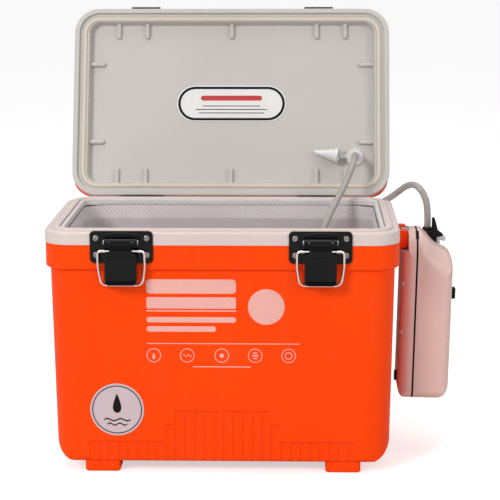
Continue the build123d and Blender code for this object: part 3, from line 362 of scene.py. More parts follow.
# ---- Finishes
DUST = srgb(196, 190, 182)
SCUFF = 0.22                        # how much rougher a scuffed place is
DUST_SHARE, EDGE_HIGHLIGHT_SHARE = 0.10, 0.6  # of dust in a scuff, of the painted highlight along an edge


@dataclass(frozen=True)
class Finish:
    """A finish: the name and main colour of a material, and how its shader is fed."""

    name: str
    colour: Colour

    def make(self) -> bpy.types.Material:
        """Builds the material."""
        material, graph, shader = new_material(self.name)
        self.paint(graph, shader)
        return material

    def paint(self, graph: Graph, shader: bpy.types.Node) -> None:
        """Feeds the shader, in each kind of finish its own way."""
        raise NotImplementedError


@dataclass(frozen=True)
class Moulded(Finish):
    """Moulded plastic or rubber: grained, softened at its edges with a painted highlight along
    them, and faintly handled.
    """

    second: Colour
    roughness: float = 0.36
    grain: float = 900.0
    depth: float = 0.00004
    edge: float = 0.0007
    edge_highlight_paint: float = 0.12
    wear: float = 0.35
    specular: float = 0.5

    def paint(self, graph: Graph, shader: bpy.types.Node) -> None:
        """Feeds the shader.

        Args:
            graph: the material's graph.
            shader: its Principled BSDF.
        """
        grain = group_node(graph, "mould_grain", Scale=self.grain)
        soft = group_node(graph, "soft_edge", Radius=self.edge)
        marks = group_node(graph, "handling", Amount=self.wear)
        tone = graph.blend(grain.outputs["Tone"], self.colour, self.second)
        # painted highlight: the base colour is lightened along the edges, where they would catch
        # the light
        painted_highlight = tuple(min(1.0, level + (1.0 - level) * self.edge_highlight_paint)
                    for level in self.colour[:3]) + (1.0,)
        edge = graph.math("MULTIPLY", soft.outputs["Edge"], EDGE_HIGHLIGHT_SHARE)
        dust = graph.math("MULTIPLY", marks.outputs["Mask"], DUST_SHARE)
        dusted = graph.blend(dust, tone, DUST)
        graph.feed(shader,
                   Base_Color=graph.blend(edge, dusted, painted_highlight),
                   Roughness=graph.spread(marks.outputs["Mask"], 0.0, 1.0, self.roughness,
                                          min(1.0, self.roughness + SCUFF)),
                   Normal=graph.bump(grain.outputs["Height"], self.depth,
                                     soft.outputs["Normal"]))
        set_inputs(shader, Specular_IOR_Level=self.specular)


@dataclass(frozen=True)
class Metal(Finish):
    """Drawn, stamped or plated metal with faint drawing lines."""

    roughness: float = 0.22
    lines: float = 400.0
    depth: float = 0.00001
    edge: float = 0.0004

    def paint(self, graph: Graph, shader: bpy.types.Node) -> None:
        """Feeds the shader.

        Args:
            graph: the material's graph.
            shader: its Principled BSDF.
        """
        soft = group_node(graph, "soft_edge", Radius=self.edge)
        marks = group_node(graph, "handling", Scale=150.0, Amount=0.8)
        place = graph.add("ShaderNodeTexCoord").outputs["Object"]
        lines = graph.add("ShaderNodeTexNoise", {"Vector": place, "Scale": self.lines})
        graph.feed(shader,
                   Base_Color=graph.blend(marks.outputs["Mask"], self.colour,
                                          tinted(self.colour, 0.7)),
                   Roughness=graph.spread(marks.outputs["Mask"], 0.0, 1.0, self.roughness,
                                          self.roughness + 0.2),
                   Normal=graph.bump(lines.outputs["Fac"], self.depth,
                                     soft.outputs["Normal"]))
        set_inputs(shader, Metallic=1.0)


@dataclass(frozen=True)
class NetCloth(Finish):
    """Fine net: thread where the weave has it, doubled over the hoop into a sleeve."""

    pitch: float = 0.0022
    thread: float = 0.5
    sleeve: float = 0.013

    def paint(self, graph: Graph, shader: bpy.types.Node) -> None:
        """Feeds the shader.

        Args:
            graph: the material's graph.
            shader: its Principled BSDF.
        """
        weave = group_node(graph, "net_weave", Pitch=self.pitch, Thread=self.thread)
        lace = group_node(graph, "net_weave", Pitch=self.pitch * 1.9, Thread=0.42)
        grain = group_node(graph, "mould_grain", Scale=300.0, Slow_scale=14.0)
        flat = graph.add("ShaderNodeSeparateXYZ", {0: graph.add("ShaderNodeUVMap").outputs[0]})
        sleeve = graph.spread(flat.outputs[1], self.sleeve - 0.0003, self.sleeve, 1.0, 0.0)
        darker = tinted(self.colour, 0.88)
        plain = graph.blend(grain.outputs["Tone"], self.colour, darker)
        doubled = graph.blend(lace.outputs["Thread"], darker, tinted(self.colour, 1.15))
        filled = graph.math("MAXIMUM", weave.outputs["Thread"],
                            graph.math("MULTIPLY", sleeve, 0.85))
        graph.feed(shader, Base_Color=graph.blend(sleeve, plain, doubled), Alpha=filled,
                   Normal=graph.bump(weave.outputs["Height"], 0.0003))
        set_inputs(shader, Roughness=0.6, Sheen_Weight=0.3)


@dataclass(frozen=True)
class HemTape(Finish):
    """Woven tape, ribbed along its length and stitched, with painted shade in the grooves between
    ribs.
    """

    def paint(self, graph: Graph, shader: bpy.types.Node) -> None:
        """Feeds the shader.

        Args:
            graph: the material's graph.
            shader: its Principled BSDF.
        """
        place = graph.add("ShaderNodeTexCoord").outputs["Object"]
        ribs = graph.add("ShaderNodeTexWave", {"Vector": place, "Scale": 700.0},
                         bands_direction="DIAGONAL")
        fuzz = graph.add("ShaderNodeTexNoise", {"Vector": place, "Scale": 1800.0})
        height = graph.math("ADD", ribs.outputs["Fac"],
                            graph.math("MULTIPLY", fuzz.outputs["Fac"], 0.4))
        # painted shade: the tone is darker in the grooves between the ribs, where the bump is
        # lowest
        tone = graph.blend(ribs.outputs["Fac"], tinted(self.colour, 0.72), self.colour)
        graph.feed(shader, Base_Color=tone, Normal=graph.bump(height, 0.0002))
        set_inputs(shader, Roughness=0.85, Sheen_Weight=0.4)


@dataclass(frozen=True)
class CloudyTube(Finish):
    """Cloudy flexible tube: waxy, a little light passes through its wall."""

    transmission: float = 0.25

    def paint(self, graph: Graph, shader: bpy.types.Node) -> None:
        """Feeds the shader.

        Args:
            graph: the material's graph.
            shader: its Principled BSDF.
        """
        grain = group_node(graph, "mould_grain", Scale=260.0, Slow_scale=30.0)
        tone = graph.blend(grain.outputs["Tone"], self.colour, tinted(self.colour, 1.18))
        graph.feed(shader, Base_Color=tone,
                   Normal=graph.bump(grain.outputs["Height"], 0.00004))
        set_inputs(shader, Roughness=0.24, Transmission_Weight=self.transmission, IOR=1.42)


@dataclass(frozen=True)
class Grit(Finish):
    """Foam or sintered grit: open cells over the whole surface, with painted shade in their
    hollows.
    """

    cell: float = 900.0
    depth: float = 0.0003

    def paint(self, graph: Graph, shader: bpy.types.Node) -> None:
        """Feeds the shader.

        Args:
            graph: the material's graph.
            shader: its Principled BSDF.
        """
        place = graph.add("ShaderNodeTexCoord").outputs["Object"]
        cells = graph.add("ShaderNodeTexVoronoi", {"Vector": place, "Scale": self.cell})
        # painted shade: the tone is darker in the hollow middle of each cell, where the bump is
        # lowest
        tone = graph.blend(cells.outputs["Distance"], tinted(self.colour, 0.55), self.colour)
        graph.feed(shader, Base_Color=tone,
                   Normal=graph.bump(cells.outputs["Distance"], self.depth))
        set_inputs(shader, Roughness=0.9)


ORANGE, ORANGE_DEEP = srgb(255, 72, 0), srgb(252, 68, 0)
WHITE, WHITE_WARM = srgb(218, 203, 199), srgb(213, 196, 192)
FINISHES: dict[str, Finish] = {
    "orange_plastic": Moulded("Orange moulded plastic", ORANGE, ORANGE_DEEP, roughness=0.42,
                               specular=0.1, edge_highlight_paint=0.04, wear=0.12),
    "orange_plastic_lid": Moulded("Orange lid plastic", ORANGE, ORANGE_DEEP, roughness=0.4,
                                   specular=0.1, edge_highlight_paint=0.04, wear=0.12),
    "white_plastic": Moulded("White rim plastic", WHITE, WHITE_WARM, roughness=0.38),
    "white_plastic_lid": Moulded("White lid plastic", srgb(196, 192, 187),
                                 srgb(191, 186, 180), roughness=0.5, specular=0.3),
    "foam": Grit("Poured foam", srgb(222, 206, 158), cell=700.0),
    "net_cloth": NetCloth("Fine net", srgb(212, 202, 203)),
    "hem_tape": HemTape("Hem tape", srgb(240, 232, 232)),
    "steel_wire": Metal("Hoop wire", srgb(170, 170, 172), roughness=0.3),
    "hinge_black": Moulded("Hinge black", srgb(14, 14, 15), srgb(18, 18, 19), edge_highlight_paint=0.04,
                           specular=0.25),
    "pin_steel": Metal("Pin steel", srgb(176, 176, 178), roughness=0.24),
    "screw_steel": Metal("Screw steel", srgb(186, 186, 188), roughness=0.3),
    "latch_black": Moulded("Latch black", srgb(5, 5, 5), srgb(7, 7, 7), roughness=0.07,
                           grain=250.0, depth=0.00001, edge=0.0012, edge_highlight_paint=0.015,
                           wear=0.08, specular=0.22),
    "rivet_steel": Metal("Rivet steel", srgb(150, 146, 142), roughness=0.14),
    "bail_steel": Metal("Bail wire", srgb(236, 232, 228), roughness=0.08),
    "gasket_cream": Moulded("Cream gasket", srgb(210, 200, 186), srgb(202, 191, 176),
                            roughness=0.62, wear=0.5, edge_highlight_paint=0.05),
    "printed_label": Moulded("Label film", srgb(228, 226, 224), srgb(224, 221, 218),
                             roughness=0.3, depth=0.000005),
    "printed_sticker": Moulded("Sticker film", srgb(206, 190, 194), srgb(200, 183, 188),
                               roughness=0.3, depth=0.000005),
    "port_rubber": CloudyTube("Port rubber", srgb(240, 238, 236), transmission=0.3),
    "stone_grit": Grit("Air stone grit", srgb(120, 132, 152)),
    "hose_clear": CloudyTube("Cloudy hose", srgb(172, 167, 162)),
    "pump_white": Moulded("Pump white", srgb(222, 187, 179), srgb(216, 181, 173),
                          roughness=0.34),
    "pump_seal_rubber": Moulded("Pump seal", srgb(6, 5, 5), srgb(9, 8, 8),
                                roughness=0.7, specular=0.12, edge_highlight_paint=0.0),
    "clip_steel": Metal("Clip strip", srgb(190, 186, 182), roughness=0.3),
    "pad_rubber": Moulded("Pad rubber", srgb(22, 21, 21), srgb(28, 27, 27), roughness=0.7),
    "valve_black": Moulded("Valve black", srgb(7, 7, 7), srgb(9, 9, 9), roughness=0.25,
                           specular=0.22, edge_highlight_paint=0.03),
    "nozzle_clear": CloudyTube("Clear nozzle", srgb(246, 246, 246), transmission=0.25),
    "knob_black": Moulded("Knob black", srgb(10, 10, 10), srgb(14, 14, 14), roughness=0.6,
                          specular=0.15, edge_highlight_paint=0.02),
    "motor_steel": Metal("Motor can", srgb(176, 176, 176), roughness=0.28),
    "crank_plastic": Moulded("Crank plastic", srgb(214, 214, 204), srgb(206, 206, 196)),
    "bellows_rubber": Moulded("Bellows rubber", srgb(30, 29, 29), srgb(36, 35, 35),
                              roughness=0.7),
    "head_plastic": Moulded("Air head plastic", srgb(52, 52, 54), srgb(58, 58, 60)),
    "cell_jacket": Moulded("Cell jacket", srgb(58, 66, 78), srgb(50, 58, 70),
                           roughness=0.2),
    "contact_brass": Metal("Contact brass", srgb(206, 174, 102), roughness=0.25),
}


@dataclass
class Wardrobe:
    """Finished materials by slot, each made once."""

    made: dict[str, bpy.types.Material] = field(default_factory=dict)

    def get(self, slot: str) -> bpy.types.Material:
        """The slot's material."""
        if slot not in self.made:
            self.made[slot] = FINISHES[slot].make()
        return self.made[slot]

    def dress_node(self, node: bpy.types.Object, slot: str) -> None:
        """Gives a frame node its finish."""
        node.data.materials.clear()
        node.data.materials.append(self.get(slot))

    def dress_piece(self, piece: bpy.types.Object, slot: str) -> None:
        """Gives a scene piece the finish of a slot."""
        piece.data.materials.clear()
        piece.data.materials.append(self.get(slot))


class SubAssembly:
    """A sub-assembly of the frame: one body, or several that work together."""

    bodies: tuple[str, ...]

    def dress(self, frame: dict, wardrobe: Wardrobe) -> None:
        """Gives each node of the bodies the finish of its slot in the frame's record.

        Args:
            frame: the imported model.
            wardrobe: the materials by slot.
        """
        record = frame["record"]
        slots = {part["node"]: part["material_slot"] for part in record["subparts"]}
        for body in self.bodies:
            for node in record["behaviour"]["bodies"][body]:
                wardrobe.dress_node(frame["nodes"][node], slots[node])


# ---- Mesh helpers
def mesh_object(name: str, mesh: bmesh.types.BMesh, smooth: bool = True) -> bpy.types.Object:
    """Turns a bmesh into an object of the scene.

    Args:
        name: the piece's name.
        mesh: the bmesh, which is freed.
        smooth: shades it smooth when True.

    Returns:
        The new object.
    """
    data = bpy.data.meshes.new(name)
    bmesh.ops.recalc_face_normals(mesh, faces=mesh.faces)
    mesh.to_mesh(data)
    mesh.free()
    for polygon in data.polygons:
        polygon.use_smooth = smooth
    piece = bpy.data.objects.new(name, data)
    bpy.context.scene.collection.objects.link(piece)
    return piece


def bridge(mesh: bmesh.types.BMesh, first: list, second: list) -> list[bmesh.types.BMFace]:
    """Quads between two closed rings that have as many vertices as each other.

    Args:
        mesh: what they are made in.
        first: one ring's vertices.
        second: the other's.

    Returns:
        The new faces, in the rings' order.
    """
    pairs = list(zip(first, second))
    return [mesh.faces.new((a, b, c, d))
            for (a, d), (b, c) in zip(pairs, pairs[1:] + pairs[:1])]


def circle(x: float, y: float, radius: float, steps: int = 64) -> list[Flat]:
    """Points round a circle."""
    turns = [2 * math.pi * step / steps for step in range(steps)]
    return [(x + radius * math.cos(turn), y + radius * math.sin(turn)) for turn in turns]


def rounded_outline(half_x: float, half_y: float, corner: float, steps: int) -> list[tuple]:
    """Points round a rounded rectangle, evenly spaced, anticlockwise from the middle front.

    Args:
        half_x: half the width.
        half_y: half the depth.
        corner: corner radius.
        steps: how many points.

    Returns:
        (x, y, distance round, unit normal x, unit normal y) of each point.
    """
    straight_x, straight_y = half_x - corner, half_y - corner
    quarter = corner * math.pi / 2
    runs = [("line", straight_x, (0, -half_y), (1, 0)),
            ("arc", quarter, (straight_x, -straight_y), -90),
            ("line", 2 * straight_y, (half_x, -straight_y), (0, 1)),
            ("arc", quarter, (straight_x, straight_y), 0),
            ("line", 2 * straight_x, (straight_x, half_y), (-1, 0)),
            ("arc", quarter, (-straight_x, straight_y), 90),
            ("line", 2 * straight_y, (-half_x, straight_y), (0, -1)),
            ("arc", quarter, (-straight_x, -straight_y), 180),
            ("line", straight_x, (-straight_x, -half_y), (1, 0))]
    total = sum(run[1] for run in runs)
    points = []
    for step in range(steps):
        distance = along = total * step / steps
        for kind, length, origin, heading in runs:
            if along <= length:
                break
            along -= length
        if kind == "line":
            x, y = origin[0] + heading[0] * along, origin[1] + heading[1] * along
            nx, ny = heading[1], -heading[0]
        else:
            angle = math.radians(heading) + along / corner
            nx, ny = math.cos(angle), math.sin(angle)
            x, y = origin[0] + corner * nx, origin[1] + corner * ny
        points.append((x, y, distance, nx, ny))
    return points


def tube_along(name: str, line: list[Vector], radius: float, sides: int = 16) -> bpy.types.Object:
    """A smooth round tube along a line of points, closed at its ends.

    Args:
        name: the piece's name.
        line: points along the middle of the tube.
        radius: outside radius.
        sides: corners of its section.

    Returns:
        The tube.
    """
    mesh = bmesh.new()
    rings = []
    side = Vector((1.0, 0.0, 0.0))
    for index, point in enumerate(line):
        ahead = line[min(index + 1, len(line) - 1)] - line[max(index - 1, 0)]
        ahead.normalize()
        side = (side - ahead * side.dot(ahead)).normalized()
        up = ahead.cross(side)
        ring = []
        for corner in range(sides):
            angle = 2 * math.pi * corner / sides
            offset = side * math.cos(angle) * radius + up * math.sin(angle) * radius
            ring.append(mesh.verts.new(point + offset))
        rings.append(ring)
    for first, second in zip(rings, rings[1:]):
        bridge(mesh, first, second)
    mesh.faces.new(rings[0])
    mesh.faces.new(rings[-1])
    return mesh_object(name, mesh)


def smooth_line(points: list[Vector], resolution: int = 14) -> list[Vector]:
    """Points along a smooth NURBS spline with the given control points.

    Args:
        points: the route's control points.
        resolution: points made for each control point.

    Returns:
        The points of the spline.
    """
    curve = bpy.data.curves.new("route", "CURVE")
    curve.dimensions = "3D"
    curve.resolution_u = resolution
    spline = curve.splines.new("NURBS")
    spline.points.add(len(points) - 1)
    for knot, point in zip(spline.points, points):
        knot.co = (*point, 1.0)
    spline.order_u = 3
    spline.use_endpoint_u = True
    holder = bpy.data.objects.new("route", curve)
    bpy.context.scene.collection.objects.link(holder)
    bpy.context.view_layer.update()
    flat = bpy.data.meshes.new_from_object(holder)
    line = [vertex.co.copy() for vertex in flat.vertices]
    bpy.data.objects.remove(holder)
    bpy.data.curves.remove(curve)
    bpy.data.meshes.remove(flat)
    return line


# ---- Printing on flat film and on the front wall
@dataclass
class Print:
    """Flat printed shapes on one plane, gathered into one mesh just proud of it."""

    name: str
    origin: Vector
    right: Vector
    up: Vector
    lift: float = 0.00012
    mesh: bmesh.types.BMesh = field(default_factory=bmesh.new)

    def place(self, x: float, y: float) -> Vector:
        """Point of the plane x and y millimetres from its origin, lifted off it."""
        out = self.right.cross(self.up)
        return self.origin + self.right * x * MM + self.up * y * MM + out * self.lift

    def outline(self, points: list[Flat]) -> None:
        """Fills a closed outline."""
        self.mesh.faces.new([self.mesh.verts.new(self.place(x, y)) for x, y in points])

    def bar(self, x: float, y: float, width: float, height: float, corner: float = 0.0) -> None:
        """A filled bar.

        Args:
            x: its centre across.
            y: its centre up.
            width: size across.
            height: size up.
            corner: radius of its corners, which are sharp at 0.
        """
        if corner <= 0:
            half_w, half_h = width / 2, height / 2
            self.outline([(x - half_w, y - half_h), (x + half_w, y - half_h),
                          (x + half_w, y + half_h), (x - half_w, y + half_h)])
            return
        ring = rounded_outline(width / 2, height / 2, corner, 96)
        self.outline([(x + point[0], y + point[1]) for point in ring])

    def disc(self, x: float, y: float, radius: float) -> None:
        """A filled disc."""
        self.outline(circle(x, y, radius))

    def band(self, outer: list[Flat], inner: list[Flat]) -> None:
        """A closed band between two outlines that have as many points as each other."""
        far, near = [[self.mesh.verts.new(self.place(x, y)) for x, y in outline]
                     for outline in (outer, inner)]
        bridge(self.mesh, far, near)

    def ring(self, x: float, y: float, radius: float, width: float) -> None:
        """A ring of that outer radius and line width."""
        self.band(circle(x, y, radius), circle(x, y, radius - width))

    def wave(self, x: float, y: float, length: float, height: float, width: float) -> None:
        """A thin wavy line.

        Args:
            x: its centre across.
            y: its centre up.
            length: size across.
            height: how far it swings up and down.
            width: of the line.
        """
        steps = 32
        upper, lower = [], []
        for i in range(steps + 1):
            along = -length / 2 + length * i / steps
            rise = height * math.sin(4 * math.pi * i / steps)
            upper.append((x + along, y + rise + width / 2))
            lower.append((x + along, y + rise - width / 2))
        for i in range(steps):
            self.outline([lower[i], lower[i + 1], upper[i + 1], upper[i]])

    def drop(self, x: float, y: float, size: float) -> None:
        """A filled water drop: a circle drawn narrow and tall in its upper half.

        Args:
            x: its centre across.
            y: its centre up.
            size: radius of the circle.
        """
        points = []
        for across, rise in circle(0.0, 0.0, 1.0, 40):
            narrow = 1.0 - 0.5 * (1 + rise) ** 1.6 / 2
            tall = 1.0 if rise < 0 else 1.35
            points.append((x + size * 0.62 * across * narrow, y + size * tall * rise))
        self.outline(points)

    def draw(self, marks: Marks) -> None:
        """Draws marks, each a method of this class followed by what it is given."""
        for shape, *sizes in marks:
            shape(self, *sizes)

    def finish(self, body: str, slot: str, ink: Ink) -> bpy.types.Object:
        """Makes the object, inks it and lets it ride.

        Args:
            body: the body that it rides on.
            slot: not used.
            ink: what it is printed in.

        Returns:
            The printed piece.
        """
        piece = mesh_object(self.name, self.mesh, smooth=False)
        out = self.right.cross(self.up)
        for polygon in piece.data.polygons:
            if polygon.normal.dot(out) < 0:
                polygon.flip()
        piece.data.materials.append(ink.make())
        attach(piece, body)
        return piece


@dataclass(frozen=True)
class Ink(Finish):
    """Screen ink, thin enough that the plastic under it shows a little."""

    cover: float = 0.86
    specular: float = 0.5

    def paint(self, graph: Graph, shader: bpy.types.Node) -> None:
        """Feeds the shader.

        Args:
            graph: the material's graph.
            shader: its Principled BSDF.
        """
        grain = group_node(graph, "mould_grain", Scale=700.0, Slow_scale=22.0)
        tone = graph.blend(grain.outputs["Tone"], self.colour, tinted(self.colour, 0.93))
        speck = graph.spread(grain.outputs["Height"], 0.25, 0.5, self.cover - 0.12, self.cover)
        graph.feed(shader, Base_Color=tone, Alpha=speck)
        set_inputs(shader, Roughness=0.45, Specular_IOR_Level=self.specular)


FRONT_INK = Ink("Pale front ink", srgb(250, 190, 180))
STICKER_INK = Ink("Dark sticker ink", srgb(16, 14, 16), cover=1.12, specular=0.15)
LABEL_INK = Ink("Dark label ink", srgb(8, 7, 8), cover=1.12, specular=0.12)
LABEL_RED = Ink("Red label ink", srgb(190, 40, 40), cover=1.0)


# ---- Tub
@dataclass
class NetBag:
    """The net liner: a bag hung from the hem, its walls a little loose and gathered in folds.

    Half sizes and corner radius are millimetres in the tub's axes, at the hem and at the floor;
    the cut's sizes are metres. Folds are waves, given by how far one reaches across and in depth
    and by its shift over the drop. Each crease has a place across, a lean over the drop and a
    half width.
    """

    top: Place = (140.9, 77.9, 23.4)
    low: Place = (133.9, 70.9, 16.4)
    top_z: float = 219.3
    low_z: float = 37.3
    floor_round: float = 9.0
    around: int = 420
    rows: int = 88
    floor_rings: int = 15
    slack: float = 8.0
    broad: Place = (23.0, 31.0, 1.7)
    small: Place = (9.0, -8.0, -5.0)
    shares: Flat = (0.45, 0.2)
    crease_deep: float = 4.2
    creases: tuple[Place, ...] = ((-128.0, 150.0, 6.0), (-96.0, 60.0, 9.0),
                                  (122.0, -170.0, 6.0), (88.0, -90.0, 9.0), (20.0, 70.0, 6.0))
    cut: Flat = (0.635, 0.509)
    cut_area: float = 0.19

    def fold(self, x: float, y: float, drop: float, phase: list[float]) -> float:
        """How far the net hangs inward from the wall, in millimetres.

        Args:
            x: place across.
            y: place in depth.
            drop: 0 at the hem and 1 at the floor.
            phase: seeded phases of the folds.

        Returns:
            The distance inward, never negative.
        """
        hang = math.sin(math.pi * min(1.0, drop * 1.05)) ** 0.8
        broad, small = [0.5 + 0.5 * math.sin(x / across + shift * drop + start + y / deep)
                        for (across, deep, shift), start in zip((self.broad, self.small), phase)]
        crease = 0.0
        for place, lean, half in self.creases:
            away = abs(x - place - lean * drop) / half
            crease += math.exp(-away * away) * min(1.0, 6.0 * drop)
        loose = self.shares[0] * broad + self.shares[1] * small
        return max(0.0, hang * (self.slack * loose + self.crease_deep * crease))

    def build(self, wardrobe: Wardrobe) -> bpy.types.Object:
        """Args:
            wardrobe: the materials by slot.

        Returns:
            The bag.
        """
        mesh = bmesh.new()
        layer = mesh.loops.layers.uv.new("UVMap")
        self.skin_floor(mesh, layer, self.skin_walls(mesh, layer))
        bag = mesh_object("net_bag", mesh)
        wardrobe.dress_piece(bag, "net_cloth")
        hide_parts("net_liner")
        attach(bag, "tub")
        return bag

    def skin_walls(self, mesh: bmesh.types.BMesh, layer: bmesh.types.BMLayerItem) -> list:
        """Makes the walls, mapped in metres from the hem down.

        Args:
            mesh: the bag's mesh.
            layer: its UV layer.

        Returns:
            The vertices of the lowest ring.
        """
        rng = random.Random(11)
        phase = [rng.uniform(0, 6.28) for _ in range(2)]
        rings, maps = [], []
        height = self.top_z - self.low_z
        for row in range(self.rows + 1):
            drop = row / self.rows
            z = self.top_z - height * drop
            above = z - self.low_z
            turn_in = 0.0
            if above < self.floor_round:
                turn_in = self.floor_round - math.sqrt(
                    self.floor_round ** 2 - (self.floor_round - above) ** 2)
            sizes = [a + (b - a) * drop - turn_in for a, b in zip(self.top, self.low)]
            ring, flat = [], []
            for x, y, distance, nx, ny in rounded_outline(*sizes, self.around):
                inward = self.fold(x, y, drop, phase)
                ring.append(mesh.verts.new(tub_point(x - nx * inward, y - ny * inward, z)))
                flat.append((distance * MM, drop * height * MM))
            rings.append(ring)
            maps.append(flat)
        for row in range(self.rows):
            for i, face in enumerate(bridge(mesh, rings[row], rings[row + 1])):
                j = (i + 1) % self.around
                spots = [maps[row][i], maps[row][j], maps[row + 1][j], maps[row + 1][i]]
                if j == 0:
                    width = maps[row][1][0] - maps[row][0][0]
                    spots[1] = (spots[0][0] + width, spots[1][1])
                    spots[2] = (spots[3][0] + width, spots[2][1])
                for loop, spot in zip(face.loops, spots):
                    loop[layer].uv = spot
        return rings[-1]

    def skin_floor(self, mesh: bmesh.types.BMesh, layer: bmesh.types.BMLayerItem,
                   edge: list) -> None:
        """Closes the floor with rings that shrink to its middle, mapped flat.

        Args:
            mesh: the bag's mesh.
            layer: its UV layer.
            edge: the vertices round the floor.
        """
        centre = tub_point(0.0, 0.0, self.low_z)
        last, faces = edge, []
        for step in range(1, self.floor_rings):
            shrink = 1.0 - step / self.floor_rings
            ring = [mesh.verts.new(centre + (vertex.co - centre) * shrink) for vertex in edge]
            faces += bridge(mesh, last, ring)
            last = ring
        faces.append(mesh.faces.new(last))
        for face in faces:
            for loop in face.loops:
                loop[layer].uv = (loop.vert.co.x, 1.0 + loop.vert.co.y)


STITCH_LONG, STITCH_THICK, STITCH_PROUD = 0.0018, 0.0007, 0.0003


@dataclass
class Tub(SubAssembly):
    """The insulated tub: shell, white rim and liner, hem and hoop, bracket and hardware.

    The printed marks are millimetres from the middle of the print. On the front they are bars,
    a spot, two ruled lines and a row of small signs, each sign in a ring.
    """

    rim_depth: float = 192.0
    wall_in: float = 4.0
    rim_low: float = 178.0
    draft: float = 1.09
    print_z: float = 150.0
    marks: Marks = (
        (Print.bar, -27.0, 24.5, 80.0, 13.0, 3.0), (Print.bar, -27.0, 9.5, 80.0, 10.5, 1.2),
        (Print.bar, -27.0, 2.2, 80.0, 1.2), (Print.bar, -27.0, -6.0, 80.0, 5.0, 2.2),
        (Print.bar, -36.0, -14.5, 62.0, 5.0, 2.2), (Print.disc, 40.0, 6.0, 16.3),
        (Print.bar, 1.5, -28.0, 137.0, 0.7), (Print.bar, 0.0, -49.5, 52.0, 0.9))
    signs: Marks = (
        (Print.drop, -61.0, -40.0, 2.6), (Print.wave, -31.0, -39.0, 8.0, 1.0, 0.8),
        (Print.disc, 0.0, -39.0, 2.0), (Print.bar, 30.0, -39.0, 6.0, 1.2),
        (Print.bar, 30.0, -36.6, 3.4, 1.2), (Print.bar, 30.0, -41.4, 3.4, 1.2),
        (Print.ring, 60.0, -39.0, 3.4, 0.8))
    sign_rings: Marks = tuple((Print.ring, x, -39.0, 6.5, 0.7)
                              for x in (-61.0, -31.0, 0.0, 30.0, 60.0))
    sticker: Flat = (-95.0, 60.0)
    sticker_marks: Marks = (
        (Print.ring, 0.0, 0.0, 22.6, 0.9), (Print.drop, 0.0, 4.5, 7.6),
        (Print.wave, 0.0, -9.5, 24.0, 1.0, 1.3), (Print.wave, 0.0, -13.7, 18.0, 1.0, 1.3))
    stitches: int = 320
    stitch_run: Place = (141.75, 78.75, 8.75)
    stitch_z: float = 221.0
    bodies: tuple[str, ...] = ("tub",)

    def front(self, x: float, z: float) -> tuple[Vector, Vector, Vector]:
        """The plane of the leaning front wall.

        Args:
            x: place across.
            z: height.

        Returns:
            Its origin there, its right direction and its up direction.
        """
        lean = math.radians(self.draft)
        half = self.rim_depth / 2 - self.wall_in - math.tan(lean) * (self.rim_low - z)
        return (tub_point(x, -half, z), Vector((1.0, 0.0, 0.0)),
                Vector((0.0, -math.sin(lean), math.cos(lean))))

    def print_front(self) -> bpy.types.Object:
        """Prints the plain marks on the front wall."""
        face = Print("front_print", *self.front(0.0, self.print_z))
        face.draw(self.marks + self.sign_rings + self.signs)
        return face.finish("tub", "printed_sticker", FRONT_INK)

    def print_sticker(self) -> bpy.types.Object:
        """Prints a ring, a drop and level waves on the round sticker."""
        face = Print("sticker_print", *self.front(*self.sticker), lift=0.0005)
        face.draw(self.sticker_marks)
        return face.finish("tub", "printed_sticker", STICKER_INK)

    def stitch_hem(self, wardrobe: Wardrobe) -> bpy.types.Object:
        """A running stitch round the inner face of the hem.

        Args:
            wardrobe: the materials by slot.

        Returns:
            The stitches as one piece.
        """
        mesh = bmesh.new()
        for x, y, _, nx, ny in rounded_outline(*self.stitch_run, self.stitches):
            middle = tub_point(x, y, self.stitch_z)
            inward = Vector((-nx, -ny, 0.0)) * STITCH_PROUD
            half = Vector((-ny, nx, 0.0)) * STITCH_LONG / 2
            thick = Vector((0.0, 0.0, STITCH_THICK / 2))
            corners = [middle - half - thick, middle + half - thick, middle + half + thick,
                       middle - half + thick]
            low = [mesh.verts.new(corner) for corner in corners]
            high = [mesh.verts.new(corner + inward - (corner - middle) * 0.25)
                    for corner in corners]
            mesh.faces.new(high)
            bridge(mesh, low, high)
        stitches = mesh_object("hem_stitches", mesh)
        wardrobe.dress_piece(stitches, "hem_tape")
        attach(stitches, "tub")
        return stitches


# ---- Lid
@dataclass
class Lid(SubAssembly):
    """The lid: orange shell, white panel, gasket, label, hinge leaves, strikes and port."""

    hinge_y: float = 102.0
    hinge_z: float = 220.0
    open_degrees: float = 108.6
    label_z: float = 235.6
    label_rim: tuple[Place, Place] = ((54.0, 17.4, 17.3), (51.5, 14.9, 14.8))
    label_lines: Marks = ((Print.bar, 0.0, -2.5, 58.0, 0.8), (Print.bar, 0.0, -6.1, 72.0, 0.8),
                          (Print.bar, 0.0, -9.7, 66.0, 0.8))
    label_bar: Marks = ((Print.bar, 0.0, 5.6, 62.0, 5.2, 2.4),)
    port: Flat = (124.6, 55.0)
    bodies: tuple[str, ...] = ("lid",)

    def turn(self, heading: Vector) -> Vector:
        """A direction of the shut lid as it points with the lid open."""
        return Matrix.Rotation(-math.radians(self.open_degrees), 3, "X") @ heading

    def point(self, x: float, y: float, z: float) -> Vector:
        """Row-frame point, in metres, of a point of the shut lid in millimetres."""
        axis = tub_point(0.0, self.hinge_y, self.hinge_z)
        return axis + self.turn(tub_point(x, y, z) - axis)

    def print_label(self) -> list[bpy.types.Object]:
        """Prints a plain rim line, ruled lines and a red bar on the pill-shaped label.

        Returns:
            The dark print and the red one.
        """
        plane = (self.point(0.0, 0.0, self.label_z), Vector((1.0, 0.0, 0.0)),
                 self.turn(Vector((0.0, -1.0, 0.0))))
        lines, bar = Print("label_lines", *plane), Print("label_bar", *plane)
        lines.band(*[[point[:2] for point in rounded_outline(*sizes, 160)]
                     for sizes in self.label_rim])
        lines.draw(self.label_lines)
        bar.draw(self.label_bar)
        return [lines.finish("lid", "printed_label", LABEL_INK),
                bar.finish("lid", "printed_label", LABEL_RED)]


# ---- Latches
@dataclass
class Latches(SubAssembly):
    """The levers and wire bails of the two draw latches, whose plates belong to the tub."""

    bodies: tuple[str, ...] = ("lever_left", "lever_right", "bail_left", "bail_right")


